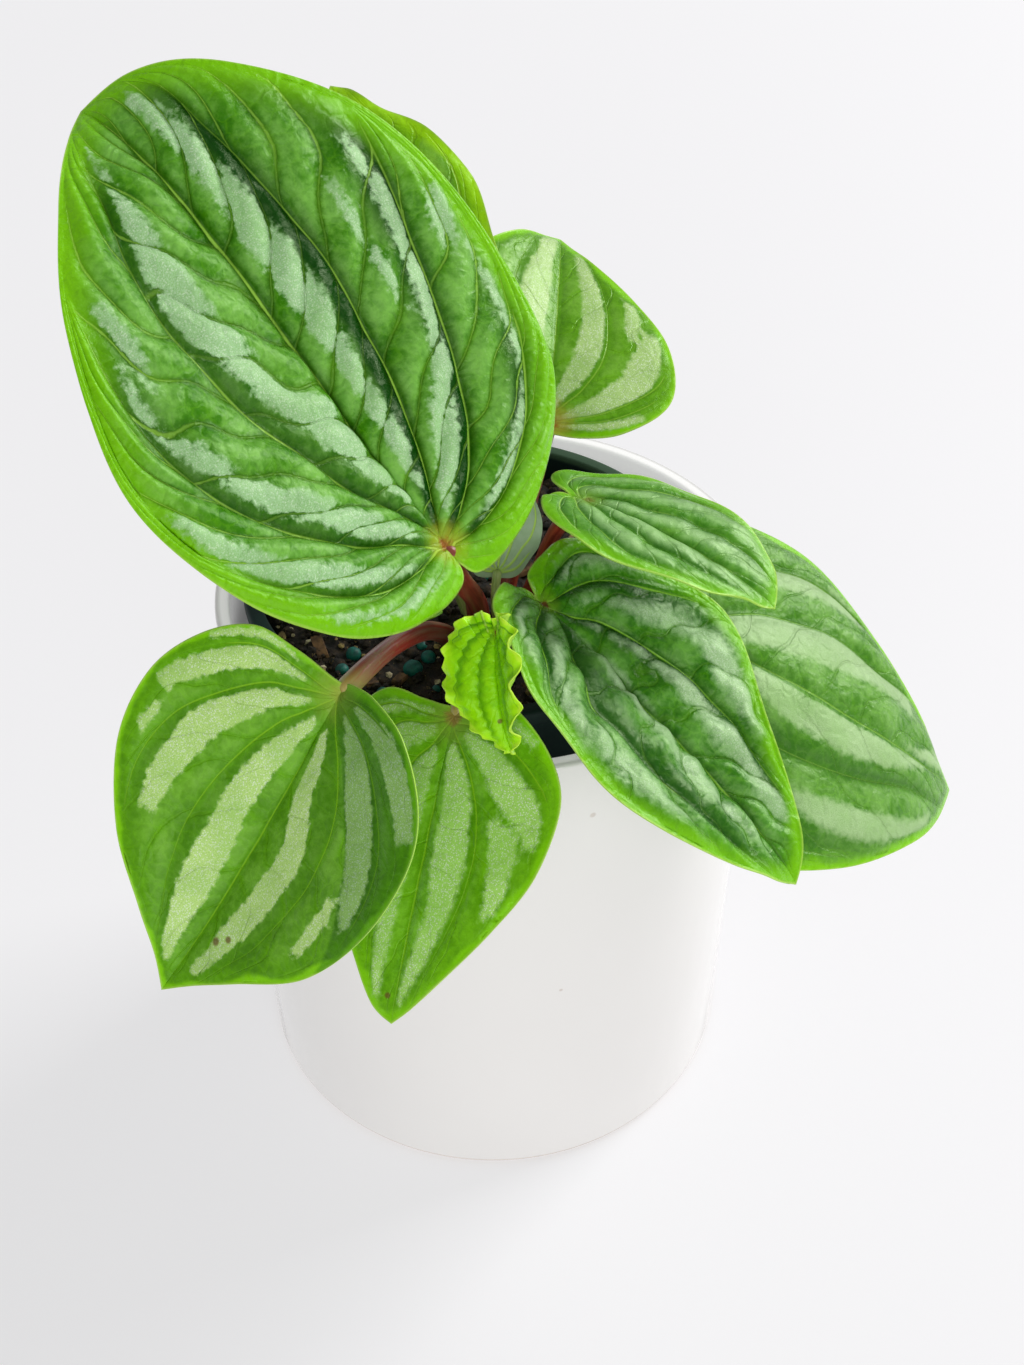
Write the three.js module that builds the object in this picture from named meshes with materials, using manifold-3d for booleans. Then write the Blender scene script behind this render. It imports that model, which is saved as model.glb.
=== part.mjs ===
// Potted peperomia: a silver-banded, heart-leaved house plant in a tall grow pot,
// standing inside a white ceramic cachepot.
//
// Millimetres, +Z up. The origin is the centre of the cachepot's flat underside,
// +X runs to the right and +Y to the back of the plant. Neighbouring pieces keep
// a gap of GAP between them.
import * as THREE from 'three';
import { mergeVertices } from 'three/addons/utils/BufferGeometryUtils.js';
import Module from 'manifold-3d';

const wasm = await Module();
wasm.setup();

// ---------------------------------------------------------------- dimensions

const GAP = 0.3;

const CACHEPOT = {
  height: 140, rimRadius: 62, baseRadius: 59.6, wall: 3.5, floor: 5,
  baseEdge: 1.6, rimEdge: 0.6, sides: 56,
};

const GROW_POT = {
  centreX: -4.5, lipTop: 144.5, lipRadius: 51, lipHeight: 3.5,
  mouthRadius: 47.5, wall: 1.2, floor: 1.6, footRadius: 40,
  drainHoles: 6, drainRadius: 4, drainCircle: 27, sides: 44,
};

const SOIL = {
  level: 138.2, roughness: 0.8, rings: [12, 19, 26, 33, 40], sides: 36, seed: 7,
};

// Slow-release feed granules lying half sunk in the soil: [x, y, diameter].
const GRANULES = [
  [-29.5, -23.5, 3.3], [-31.6, -29.1, 3.0], [-16.4, -28.8, 4.3], [-13.2, -24.9, 3.3],
  [-18.4, -21.2, 3.0], [-1.5, 2.9, 3.2], [22.0, 24.0, 3.6], [-26.0, 18.0, 3.8],
  [8.0, 30.0, 3.3], [30.0, -6.0, 3.5], [-40.0, 2.0, 3.4], [12.0, -38.0, 3.6],
];

// Bark chips pressed into the soil: [x, y, length, width, turn in degrees].
const BARK = [
  [6.5, 5.4, 7, 4, 20], [-33.0, -12.0, 6, 3, 70], [-20.0, 22.0, 8, 4, 130],
  [24.0, 10.0, 7, 4, 160], [10.0, -33.0, 6, 3.5, 40],
];

const CROWN = {
  x: -1, y: -16, radius: 8.8, top: 138.6, neck: 5.2, rootTip: 2.2, rootDepth: 26, sides: 20,
};

const SPROUT = { x: -16.4, y: -16.5, stem: 0.6, height: 4.5, blade: 5.5, sides: 6 };

const BLADE = {
  thickness: 1.0,
  // Share of the half width at which the ridges and the side veins run.
  columns: [0, 0.17, 0.34, 0.5, 0.66, 0.83, 1],
  narrowColumns: [0, 0.25, 0.5, 0.75, 1],
  wideColumns: [0, 0.17, 0.34, 0.48, 0.62, 0.74, 0.86, 0.93, 1],
  quadratureSteps: 24,
};

// Each leaf: `at` is where its stalk meets the blade, `heading`, `pitch` and
// `roll` turn the blade there (degrees), `bend` and `curl` bow it downwards
// along its length and at its tip, `fold` lifts and `arch` rounds off its left
// and right halves, `twist` turns it from stalk to tip. `left` and `right` are
// the edge from the notch behind the stalk round to the tip, as [distance
// along the midrib, distance from the midrib]. `swell` is how far the blade
// stands up between its veins and `ruffle` how far its edge waves. The stalk
// leaves the crown at the angle and distance in `foot`, rises by `rise` while
// leaning over by `lean`, and comes into the blade from `under` below and
// `behind` it, stopping `clear` short of it where the blade folds down.
const LEAVES = {
  A: {
    at: [-8, -52, 190], heading: 144, pitch: 39, roll: -9, bend: -20, curl: 60,
    fold: [22, 11], arch: [14, 20], twist: -17, swell: 1.5, ruffle: 0.4, waves: 5,
    left: [[-4, 0], [-8, 3], [-9, 13], [-6, 27], [6, 40], [24, 47], [45, 47], [70, 35.8], [88.6, 20.5], [100, 8], [106, 0]],
    right: [[-4, 0], [-8, 2], [-8, 10], [-3, 24], [8, 39], [24, 46], [48, 46], [73, 38.7], [91.6, 24.3], [102.6, 11], [106, 0]],
    steps: 16, columns: 'wideColumns',
    stalk: 2.1, foot: [135, 2.0], rise: 20, lean: [0, -6], under: 8, behind: 12, clear: 0,
  },
  B: {
    at: [-10, 2, 206], heading: 120, pitch: 42, roll: -8, bend: 17, curl: 8,
    fold: [10, 15], arch: [14, 12], twist: 0, swell: 0.4, ruffle: 0.7, waves: 6,
    left: [[-3, 0], [-6, 2], [-9, 6], [-8, 12], [1, 17], [12, 19], [25, 18], [38, 13], [48, 7], [54, 3], [58, 0]],
    right: [[-3, 0], [-6, 2], [-9, 6], [-7, 12], [2, 16], [13, 17], [26, 18], [38, 14], [48, 7], [55, 3], [58, 0]],
    steps: 12,
    stalk: 1.4, foot: [118, 6.6], rise: 30, lean: [-12, 4], under: 6, behind: 6, clear: 0,
  },
  C: {
    at: [12.6, 9, 176], heading: 84, pitch: 30, roll: 8, bend: 29, curl: 9,
    fold: [21, 13], arch: [8, 13], twist: 9, swell: 0.6, ruffle: 0.3, waves: 4,
    left: [[-2, 0], [-5, 2], [-8, 8], [-6, 17], [2, 24], [12, 27], [25, 26], [39.5, 20.5], [50, 12], [55.5, 4.5], [59, 0]],
    right: [[-2, 0], [-2.4, 2], [-2.8, 8], [-1.6, 16], [4.4, 24.4], [12, 27.2], [24, 24.5], [36, 17], [47, 8], [54, 3], [59, 0]],
    steps: 14,
    stalk: 1.7, foot: [62, 6.6], rise: 18, lean: [4, 4], under: 10, behind: 4, clear: 0,
  },
  D: {
    at: [20, -29, 183], heading: -25, pitch: -6, roll: -10, bend: 18, curl: 9,
    fold: [12, 10], arch: [21, 14], twist: 10, swell: 0.9, ruffle: 0.4, waves: 5,
    left: [[-4, 0], [-7, 2], [-10, 5], [-7, 9], [1, 13], [10, 16.4], [20, 16.9], [30, 14.6], [37, 9], [41, 4], [43, 0]],
    right: [[-4, 0], [-7, 1], [-8, 4], [-6, 10], [1, 15], [8, 17], [18, 15], [28, 11], [35, 6], [40, 3], [43, 0]],
    steps: 12,
    stalk: 1.6, foot: [18, 6.6], rise: 16, lean: [8, 7], under: 8, behind: 8, clear: 0,
  },
  E: {
    at: [11, -44.5, 169], heading: -37, pitch: -27, roll: -17, bend: 3, curl: 14,
    fold: [19, 16], arch: [1, 27], twist: 13, swell: 1.6, ruffle: 0.5, waves: 6,
    left: [[-2, 0], [-6.6, 3], [-8, 9], [-7, 18.6], [5, 25], [19, 30], [32, 28], [47, 18], [61, 11], [70, 5], [74, 0]],
    right: [[-2, 0], [-6, 1], [-8, 7], [-5, 16], [5, 22.4], [17, 26.4], [32, 27.4], [48, 23], [61.6, 13.2], [69.6, 6], [74, 0]],
    steps: 14,
    stalk: 1.8, foot: [-66, 6.6], rise: 12, lean: [1, -6], under: 10, behind: 6, clear: 0,
  },
  F: {
    at: [33, -35.5, 160.5], heading: -18, pitch: -18, roll: 36, bend: 40, curl: 19,
    fold: [-22, 10], arch: [18, 13], twist: -7, swell: 1.2, ruffle: 0.3, waves: 4,
    left: [[-3, 0], [-8, 3], [-13, 12], [-11, 23], [2, 33], [19, 37], [38, 35.8], [57, 26.2], [72, 14], [82, 5], [89, 0]],
    right: [[-3, 0], [-8, 3], [-13, 12], [-11, 24], [2, 35], [19, 39], [38.4, 39], [58.6, 30.2], [74.6, 17.7], [84.2, 8.3], [89, 0]],
    steps: 14,
    stalk: 1.8, foot: [-25, 6.6], rise: 10, lean: [4, -2], under: 10, behind: 8, clear: 0.9,
  },
  G: {
    at: [2, -68, 182], heading: -90, pitch: -37, roll: 33, bend: 24, curl: 14,
    fold: [36, 23], arch: [2, 4], twist: 0, swell: 0.6, ruffle: 0.5, waves: 9, teeth: 0.35,
    left: [[-2, 0], [-3, 1], [-3, 3], [-2, 5], [1, 7], [5, 9], [10, 8], [15, 6], [19, 4], [22, 1.5], [23, 0]],
    right: [[-2, 0], [-3, 1], [-4, 3], [-3, 6], [0, 9], [5, 10], [10, 10], [15, 7], [19, 4], [22, 1], [23, 0]],
    steps: 20, columns: 'narrowColumns',
    stalk: 0.9, foot: [-100, 2.6], rise: 26, lean: [-4, -18], under: 2, behind: 2, clear: 0,
  },
  H: {
    at: [-26, -79, 177], heading: -146, pitch: -55, roll: -10, bend: -5, curl: -10,
    fold: [12, 31], arch: [8, 4], twist: -8, swell: 0.6, ruffle: 0.4, waves: 4,
    left: [[-2, 0], [-3, 2], [-4, 8], [-3, 19], [4, 28], [15, 33], [30, 32], [46, 25], [57, 13], [64, 5], [69, 0]],
    right: [[-2, 0], [-2, 3], [-3, 11], [-3, 20], [4, 28], [15, 33], [30, 32], [46, 24], [57, 13], [64, 5], [69, 0]],
    steps: 14,
    stalk: 1.9, foot: [-156, 6.6], rise: 12, lean: [-6, -6], under: 6, behind: 14, clear: 0,
  },
  I: {
    at: [-6, -67, 160], heading: -108, pitch: -43, roll: 14, bend: 6, curl: 0,
    fold: [10, 3], arch: [12, 13], twist: 0, swell: 0.6, ruffle: 0.4, waves: 4,
    left: [[-2, 0], [-3, 2], [-5, 7], [-3, 15], [4, 23], [13, 27], [26, 25], [38, 18], [49, 10], [56, 4], [60, 0]],
    right: [[-2, 0], [-2, 3], [-2.4, 8], [-3, 16], [3, 23], [13, 27], [25, 25], [38.6, 18], [50, 10.2], [57.4, 5], [60, 0]],
    steps: 14,
    stalk: 1.8, foot: [-110, 6.6], rise: 7, lean: [-1, -10], under: 6, behind: 14, clear: 0,
  },
  J: {
    at: [2, -30, 167], heading: 70, pitch: 72, roll: 194, bend: 21, curl: 10,
    fold: [30, 20], arch: [14, 14], twist: 0, swell: 0.2, ruffle: 0.2, waves: 3,
    left: [[-2, 0], [-2, 1], [-2, 3], [-1, 5], [2, 7], [5, 8.5], [10, 8.5], [15, 6.5], [19, 4], [22, 1.5], [24, 0]],
    right: [[-2, 0], [-2, 1], [-2.5, 3], [-2, 5], [1, 6.5], [5, 7], [10, 7], [15, 5.5], [19, 3.5], [22, 1], [24, 0]],
    steps: 10, columns: 'narrowColumns',
    stalk: 0.9, foot: [10, 2.8], rise: 12, lean: [0, -8], under: 4, behind: 7, clear: 0,
  },
};

const STALK_SIDES = 8;
const STALK_STEPS = 8;

const COLOURS = {
  ceramic: 0xf4f3ee, growPot: 0x17302b, soil: 0x241c15, crown: 0x5b3325,
  leaf: 0x3f8a1f, freshLeaf: 0x8fd10f, paleLeaf: 0x8fa98a,
  redStalk: 0x9a3b28, paleStalk: 0xa9b978,
};

// ------------------------------------------------------------------- helpers

const radians = THREE.MathUtils.degToRad;

// A repeatable draw between 0 and 1.
function draw(seed) {
  const value = Math.sin(seed * 127.1 + 311.7) * 43758.5453;
  return value - Math.floor(value);
}

// One closed body: vertices at the same place become one, by position only.
function weld(geometry) {
  const bare = geometry.clone();
  bare.deleteAttribute('normal');
  bare.deleteAttribute('uv');
  return mergeVertices(bare, 1e-4);
}

function toSolid(geometry) {
  const welded = weld(geometry);
  return new wasm.Manifold(new wasm.Mesh({
    numProp: 3,
    vertProperties: new Float32Array(welded.attributes.position.array),
    triVerts: new Uint32Array(welded.index.array),
  }));
}

function fromSolid(solid) {
  const mesh = solid.getMesh();
  const geometry = new THREE.BufferGeometry();
  geometry.setAttribute('position', new THREE.BufferAttribute(new Float32Array(mesh.vertProperties), 3));
  geometry.setIndex(new THREE.BufferAttribute(new Uint32Array(mesh.triVerts), 1));
  return geometry;
}

// A profile of [radius, height] turned about Z.
function turned(profile, sides) {
  const points = profile.map(([radius, height]) => new THREE.Vector2(radius, height));
  const geometry = new THREE.LatheGeometry(points, sides);
  geometry.rotateX(Math.PI / 2);
  return geometry;
}

// ---------------------------------------------------------------------- pots

function cachepotGeometry() {
  const { height, rimRadius, baseRadius, wall, floor, baseEdge, rimEdge, sides } = CACHEPOT;
  return weld(turned([
    [0, 0],
    [baseRadius - baseEdge, 0],
    [baseRadius, baseEdge],
    [rimRadius, height - rimEdge],
    [rimRadius - rimEdge, height],
    [rimRadius - wall + rimEdge, height],
    [rimRadius - wall, height - rimEdge],
    [baseRadius - wall, floor + baseEdge],
    [baseRadius - wall - baseEdge, floor],
    [0, floor],
  ], sides));
}

const growPotFoot = CACHEPOT.floor + GAP;

// Inner radius of the grow pot at a height, from its tapered wall.
function growPotInside(height) {
  const share = (height - growPotFoot) / (GROW_POT.lipTop - growPotFoot);
  return THREE.MathUtils.lerp(GROW_POT.footRadius - GROW_POT.wall, GROW_POT.mouthRadius, share);
}

function growPotGeometry() {
  const { lipTop, lipRadius, lipHeight, wall, floor, footRadius, drainHoles, drainRadius, drainCircle, sides } = GROW_POT;
  const underLip = lipTop - lipHeight;
  let pot = toSolid(turned([
    [0, growPotFoot],
    [footRadius, growPotFoot],
    [growPotInside(underLip) + wall, underLip],
    [lipRadius - 0.5, underLip],
    [lipRadius, underLip + 0.5],
    [lipRadius, lipTop - 1],
    [lipRadius - 1, lipTop],
    [growPotInside(lipTop) + 0.5, lipTop],
    [growPotInside(lipTop), lipTop - 0.5],
    [growPotInside(growPotFoot + floor), growPotFoot + floor],
    [0, growPotFoot + floor],
  ], sides));
  for (let i = 0; i < drainHoles; i++) {
    const angle = (2 * Math.PI * i) / drainHoles;
    const hole = new THREE.CylinderGeometry(drainRadius, drainRadius, 4 * floor, 16);
    hole.rotateX(Math.PI / 2);
    hole.translate(drainCircle * Math.cos(angle), drainCircle * Math.sin(angle), growPotFoot + floor / 2);
    pot = pot.subtract(toSolid(hole));
  }
  return fromSolid(pot);
}

// ---------------------------------------------------------------------- soil

function crownGeometry(grow) {
  const { radius, top, neck, rootTip, rootDepth, sides } = CROWN;
  const geometry = turned([
    [0, top - rootDepth - grow],
    [rootTip + grow, top - rootDepth - grow],
    [neck + grow, top - rootDepth * 0.45],
    [radius + grow, top - 5],
    [radius + grow, top + (grow > 0 ? 10 : 0)],
    [0, top + (grow > 0 ? 10 : 0)],
  ], sides);
  geometry.translate(CROWN.x, CROWN.y, 0);
  return geometry;
}

function sproutGeometry(grow) {
  const { x, y, stem, height, blade, sides } = SPROUT;
  const foot = SOIL.level - 4 - grow;
  const stalk = new THREE.CylinderGeometry(stem + grow, stem + grow, height + 4 + grow, sides);
  stalk.rotateX(Math.PI / 2);
  stalk.translate(x, y, foot + (height + 4 + grow) / 2);
  if (grow > 0) return stalk;
  const leaf = new THREE.SphereGeometry(blade / 2, 8, 6);
  leaf.scale(1, 0.55, 0.3);
  leaf.rotateY(radians(-25));
  leaf.translate(x + 1.2, y, SOIL.level + height);
  return fromSolid(toSolid(stalk).add(toSolid(leaf)));
}

function soilGeometry() {
  const { level, roughness, rings, sides, seed } = SOIL;
  const bottom = growPotFoot + GROW_POT.floor + GAP;
  const edge = growPotInside(level - 3) - GAP;
  const profile = [[0, bottom], [growPotInside(bottom) - GAP, bottom], [edge, level - 3]];
  for (const radius of [...rings].reverse()) profile.push([radius, level]);
  profile.push([0, level]);
  const body = weld(turned(profile, sides));
  const position = body.attributes.position;
  for (let i = 0; i < position.count; i++) {
    const x = position.getX(i);
    const y = position.getY(i);
    if (position.getZ(i) < level - 1) continue;
    const lump = draw(seed + Math.round(x * 10) * 1.3 + Math.round(y * 10) * 7.9) - 0.5;
    position.setZ(i, level + 2 * roughness * lump);
  }
  const centre = GROW_POT.centreX;
  let soil = toSolid(body);
  for (const [x, y, diameter] of GRANULES) {
    const granule = new THREE.OctahedronGeometry(diameter / 2, 1);
    granule.translate(x - centre, y, level + 0.1);
    soil = soil.add(toSolid(granule));
  }
  for (const [x, y, length, width, turn] of BARK) {
    const chip = new THREE.BoxGeometry(length, width, 3);
    chip.rotateX(radians(8));
    chip.rotateZ(radians(turn));
    chip.translate(x - centre, y, level + 0.2);
    soil = soil.add(toSolid(chip));
  }
  for (const hole of [crownGeometry(GAP), sproutGeometry(GAP)]) {
    hole.translate(-centre, 0, 0);
    soil = soil.subtract(toSolid(hole));
  }
  return fromSolid(soil);
}

// -------------------------------------------------------------------- leaves

// The blade's own axes: along the midrib, across to the left, and up.
function bladeAxes(leaf) {
  const heading = radians(leaf.heading);
  const pitch = radians(leaf.pitch);
  const roll = radians(leaf.roll);
  const along = new THREE.Vector3(
    Math.cos(pitch) * Math.cos(heading), Math.cos(pitch) * Math.sin(heading), Math.sin(pitch));
  const level = new THREE.Vector3(-Math.sin(heading), Math.cos(heading), 0);
  const above = new THREE.Vector3().crossVectors(along, level);
  const across = level.clone().multiplyScalar(Math.cos(roll)).addScaledVector(above, Math.sin(roll));
  const up = above.clone().multiplyScalar(Math.cos(roll)).addScaledVector(level, -Math.sin(roll));
  return { along, across, up };
}

// Place of the flat blade point (x, y) on the bowed, folded blade.
function bladePoint(leaf, axes, x, y) {
  const length = leaf.left.at(-1)[0];
  const halfWidth = 0.45 * length;
  const droop = (share) => -radians(
    leaf.bend * share + (share > 0 ? leaf.curl * share ** 4 : 0));
  const steps = BLADE.quadratureSteps;
  let forward = 0;
  let rise = 0;
  for (let i = 0; i < steps; i++) {
    const angle = droop(((i + 0.5) / steps) * (x / length));
    forward += (Math.cos(angle) * x) / steps;
    rise += (Math.sin(angle) * x) / steps;
  }
  const end = droop(x / length);
  const normal = axes.up.clone().multiplyScalar(Math.cos(end)).addScaledVector(axes.along, -Math.sin(end));
  const side = y >= 0 ? 0 : 1;
  const reach = Math.abs(y);
  let out = 0;
  let lift = 0;
  for (let i = 0; i < steps; i++) {
    const angle = radians(leaf.fold[side] - (leaf.arch[side] * (reach * (i + 0.5)) / steps) / halfWidth);
    out += (Math.cos(angle) * reach) / steps;
    lift += (Math.sin(angle) * reach) / steps;
  }
  const turn = radians((leaf.twist * x) / length);
  const across = axes.across.clone().multiplyScalar(Math.cos(turn)).addScaledVector(normal, Math.sin(turn));
  const raised = normal.clone().multiplyScalar(Math.cos(turn)).addScaledVector(axes.across, -Math.sin(turn));
  return new THREE.Vector3(...leaf.at)
    .addScaledVector(axes.along, forward)
    .addScaledVector(axes.up, rise)
    .addScaledVector(across, Math.sign(y) * out)
    .addScaledVector(raised, lift);
}

function bladeNormal(leaf, axes, x, y) {
  const step = 0.8;
  const alongStep = bladePoint(leaf, axes, x + step, y).sub(bladePoint(leaf, axes, x - step, y));
  const acrossStep = bladePoint(leaf, axes, x, y + step).sub(bladePoint(leaf, axes, x, y - step));
  return alongStep.cross(acrossStep).normalize();
}

// How far the blade stands off its smooth form: up between the veins, and
// waving at the edge.
function bladeRelief(leaf, column, columns, share) {
  const t = columns[column];
  const between = column % 2 === 1 ? 1 : 0;
  const swell = leaf.swell * between * Math.min(1, 3.2 * share * (1 - share)) * (1 - 0.5 * t);
  const wave = leaf.ruffle * t ** 4 * Math.sin(2 * Math.PI * leaf.waves * share) * Math.min(1, 6 * (1 - share));
  return swell + wave;
}

function leafGeometry(leaf) {
  const axes = bladeAxes(leaf);
  const columns = BLADE[leaf.columns ?? 'columns'];
  const length = leaf.left.at(-1)[0];
  const positions = [];
  const faces = [];
  const grids = [leaf.left, leaf.right].map((edge, side) => {
    const curve = new THREE.SplineCurve(edge.map(([x, y]) => new THREE.Vector2(x, y)));
    const rows = [];
    for (let row = 0; row <= leaf.steps; row++) {
      const share = row / leaf.steps;
      const rim = curve.getPoint(share);
      if (leaf.teeth && row > 0 && row < leaf.steps) rim.y += row % 2 === 1 ? leaf.teeth : -leaf.teeth / 2;
      rows.push(columns.map((t, column) => {
        const x = (1 - t) * share * length + t * rim.x;
        const y = t * rim.y * (side === 0 ? 1 : -1);
        const middle = bladePoint(leaf, axes, x, y);
        const normal = bladeNormal(leaf, axes, x, y);
        const relief = bladeRelief(leaf, column, columns, share);
        return [1, -1].map((face) => {
          const point = middle.clone().addScaledVector(normal, relief + (face * BLADE.thickness) / 2);
          positions.push(point.x, point.y, point.z);
          return positions.length / 3 - 1;
        });
      }));
    }
    return rows;
  });
  const addQuad = (a, b, c, d, flip) => {
    if (flip) faces.push(a, c, b, a, d, c);
    else faces.push(a, b, c, a, c, d);
  };
  grids.forEach((rows, side) => {
    for (let row = 0; row < leaf.steps; row++) {
      for (let column = 0; column < columns.length - 1; column++) {
        const [p, q, r, s] = [rows[row][column], rows[row + 1][column], rows[row + 1][column + 1], rows[row][column + 1]];
        addQuad(p[0], q[0], r[0], s[0], side === 1);
        addQuad(p[1], q[1], r[1], s[1], side === 0);
      }
      const [top, next] = [rows[row].at(-1), rows[row + 1].at(-1)];
      addQuad(top[0], next[0], next[1], top[1], side === 1);
    }
  });
  const geometry = new THREE.BufferGeometry();
  geometry.setAttribute('position', new THREE.Float32BufferAttribute(positions, 3));
  geometry.setIndex(faces);
  return withoutSlivers(mergeVertices(geometry, 1e-3));
}

// Drops the triangles that the welded tip and midrib leave with no area.
function withoutSlivers(geometry) {
  const index = geometry.index.array;
  const kept = [];
  for (let i = 0; i < index.length; i += 3) {
    const [a, b, c] = [index[i], index[i + 1], index[i + 2]];
    if (a !== b && b !== c && c !== a) kept.push(a, b, c);
  }
  geometry.setIndex(kept);
  return geometry;
}

// -------------------------------------------------------------------- stalks

function stalkCurve(leaf) {
  const axes = bladeAxes(leaf);
  const [angle, distance] = leaf.foot;
  const foot = new THREE.Vector3(
    CROWN.x + distance * Math.cos(radians(angle)),
    CROWN.y + distance * Math.sin(radians(angle)),
    CROWN.top + GAP);
  const end = new THREE.Vector3(...leaf.at)
    .addScaledVector(axes.up, -(BLADE.thickness / 2 + GAP + leaf.clear));
  return new THREE.CubicBezierCurve3(
    foot,
    foot.clone().add(new THREE.Vector3(...leaf.lean, leaf.rise)),
    end.clone().addScaledVector(axes.up, -leaf.under).addScaledVector(axes.along, -leaf.behind),
    end);
}

function stalkGeometry(leaf) {
  const section = new THREE.Shape();
  section.absarc(0, 0, leaf.stalk, 0, 2 * Math.PI);
  const curve = stalkCurve(leaf);
  const geometry = weld(new THREE.ExtrudeGeometry(section, {
    steps: STALK_STEPS, curveSegments: STALK_SIDES / 2, extrudePath: curve,
  }));
  cutSquareTo(geometry, curve, 0, new THREE.Vector3(0, 0, 1));
  cutSquareTo(geometry, curve, 1, bladeAxes(leaf).up);
  return geometry;
}

// Slides the end ring at the curve's start (0) or end (1) along the curve onto
// the plane with this normal, so that a stalk that comes in at a slant still
// meets the crown or the blade flat.
function cutSquareTo(geometry, curve, at, normal) {
  const centre = curve.getPoint(at);
  const tangent = curve.getTangent(at);
  const position = geometry.attributes.position;
  const point = new THREE.Vector3();
  for (let i = 0; i < position.count; i++) {
    const offset = point.fromBufferAttribute(position, i).sub(centre);
    if (Math.abs(offset.dot(tangent)) > 1e-3 || offset.length() > 5) continue;
    offset.addScaledVector(tangent, -offset.dot(normal) / tangent.dot(normal)).add(centre);
    position.setXYZ(i, offset.x, offset.y, offset.z);
  }
}

// ------------------------------------------------------------------ assembly

function material(color, roughness) {
  return new THREE.MeshStandardMaterial({ color, roughness, metalness: 0 });
}

const FINISH = {
  ceramic: material(COLOURS.ceramic, 0.22),
  growPot: material(COLOURS.growPot, 0.5),
  soil: material(COLOURS.soil, 0.95),
  crown: material(COLOURS.crown, 0.8),
  leaf: material(COLOURS.leaf, 0.4),
  freshLeaf: material(COLOURS.freshLeaf, 0.4),
  paleLeaf: material(COLOURS.paleLeaf, 0.55),
  redStalk: material(COLOURS.redStalk, 0.4),
  paleStalk: material(COLOURS.paleStalk, 0.4),
};

const LEAF_FINISH = { B: 'freshLeaf', G: 'freshLeaf', J: 'paleLeaf' };
const STALK_FINISH = { B: 'paleStalk', G: 'paleStalk', J: 'paleStalk' };

const plant = new THREE.Group();

function place(parent, name, geometry, finish) {
  const mesh = new THREE.Mesh(geometry, finish);
  mesh.name = name;
  parent.add(mesh);
  return mesh;
}

place(plant, 'cachepot', cachepotGeometry(), FINISH.ceramic);

const growing = new THREE.Group();
growing.position.x = GROW_POT.centreX;
place(growing, 'grow_pot', growPotGeometry(), FINISH.growPot);
place(growing, 'soil', soilGeometry(), FINISH.soil);
plant.add(growing);

place(plant, 'crown', weld(crownGeometry(0)), FINISH.crown);
place(plant, 'sprout', sproutGeometry(0), FINISH.freshLeaf);

for (const [name, leaf] of Object.entries(LEAVES)) {
  place(plant, `leaf_${name}`, leafGeometry(leaf), FINISH[LEAF_FINISH[name] ?? 'leaf']);
  place(plant, `stalk_${name}`, stalkGeometry(leaf), FINISH[STALK_FINISH[name] ?? 'redStalk']);
}

export default plant;
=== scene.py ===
"""Potted peperomia, dressed for the studio.

A heart-leaved peperomia with silver-banded leaves on red stalks grows in a dark
plastic grow pot, which stands inside a white glazed cachepot on a pale floor.
Sizes are in millimetres unless a name says otherwise, and every mesh is written
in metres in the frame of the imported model.
"""

from __future__ import annotations

import logging
import math
from dataclasses import dataclass, field
from enum import Enum
from typing import Any, Iterable, Sequence, Union

import bpy
import numpy as np
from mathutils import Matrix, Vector


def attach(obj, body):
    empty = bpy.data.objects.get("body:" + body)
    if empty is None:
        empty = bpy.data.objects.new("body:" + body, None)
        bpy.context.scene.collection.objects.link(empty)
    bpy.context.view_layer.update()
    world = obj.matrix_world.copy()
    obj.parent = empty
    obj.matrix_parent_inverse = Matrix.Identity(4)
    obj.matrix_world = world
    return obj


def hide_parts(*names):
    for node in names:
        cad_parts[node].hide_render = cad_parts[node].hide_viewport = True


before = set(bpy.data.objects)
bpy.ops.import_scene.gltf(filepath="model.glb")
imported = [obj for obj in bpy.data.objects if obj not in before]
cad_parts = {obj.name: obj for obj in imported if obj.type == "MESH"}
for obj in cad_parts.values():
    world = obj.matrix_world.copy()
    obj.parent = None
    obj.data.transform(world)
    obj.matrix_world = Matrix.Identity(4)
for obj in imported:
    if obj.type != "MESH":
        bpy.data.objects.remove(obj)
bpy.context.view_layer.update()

log = logging.getLogger("peperomia")

MM = 0.001
FULL_TURN = 2 * math.pi
BODY = "root"

Colour = tuple[float, float, float, float]
Point = tuple[float, float, float]
Pair = tuple[float, float]
Outline = tuple[Pair, ...]
Settings = Union[dict[str, Any], None]
Sockets = Union[dict[Any, Any], None]


def paint(red: int, green: int, blue: int) -> Colour:
    """Turn a screen colour, 0 to 255, into a linear one.

    Args:
        red: Red as seen on a screen.
        green: Green as seen on a screen.
        blue: Blue as seen on a screen.

    Returns:
        The linear colour with full alpha.
    """
    parts = []
    for part in (red, green, blue):
        share = part / 255
        parts.append(share / 12.92 if share <= 0.04045 else ((share + 0.055) / 1.055) ** 2.4)
    return (parts[0], parts[1], parts[2], 1.0)


# ------------------------------------------------------------------ shader tools


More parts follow.
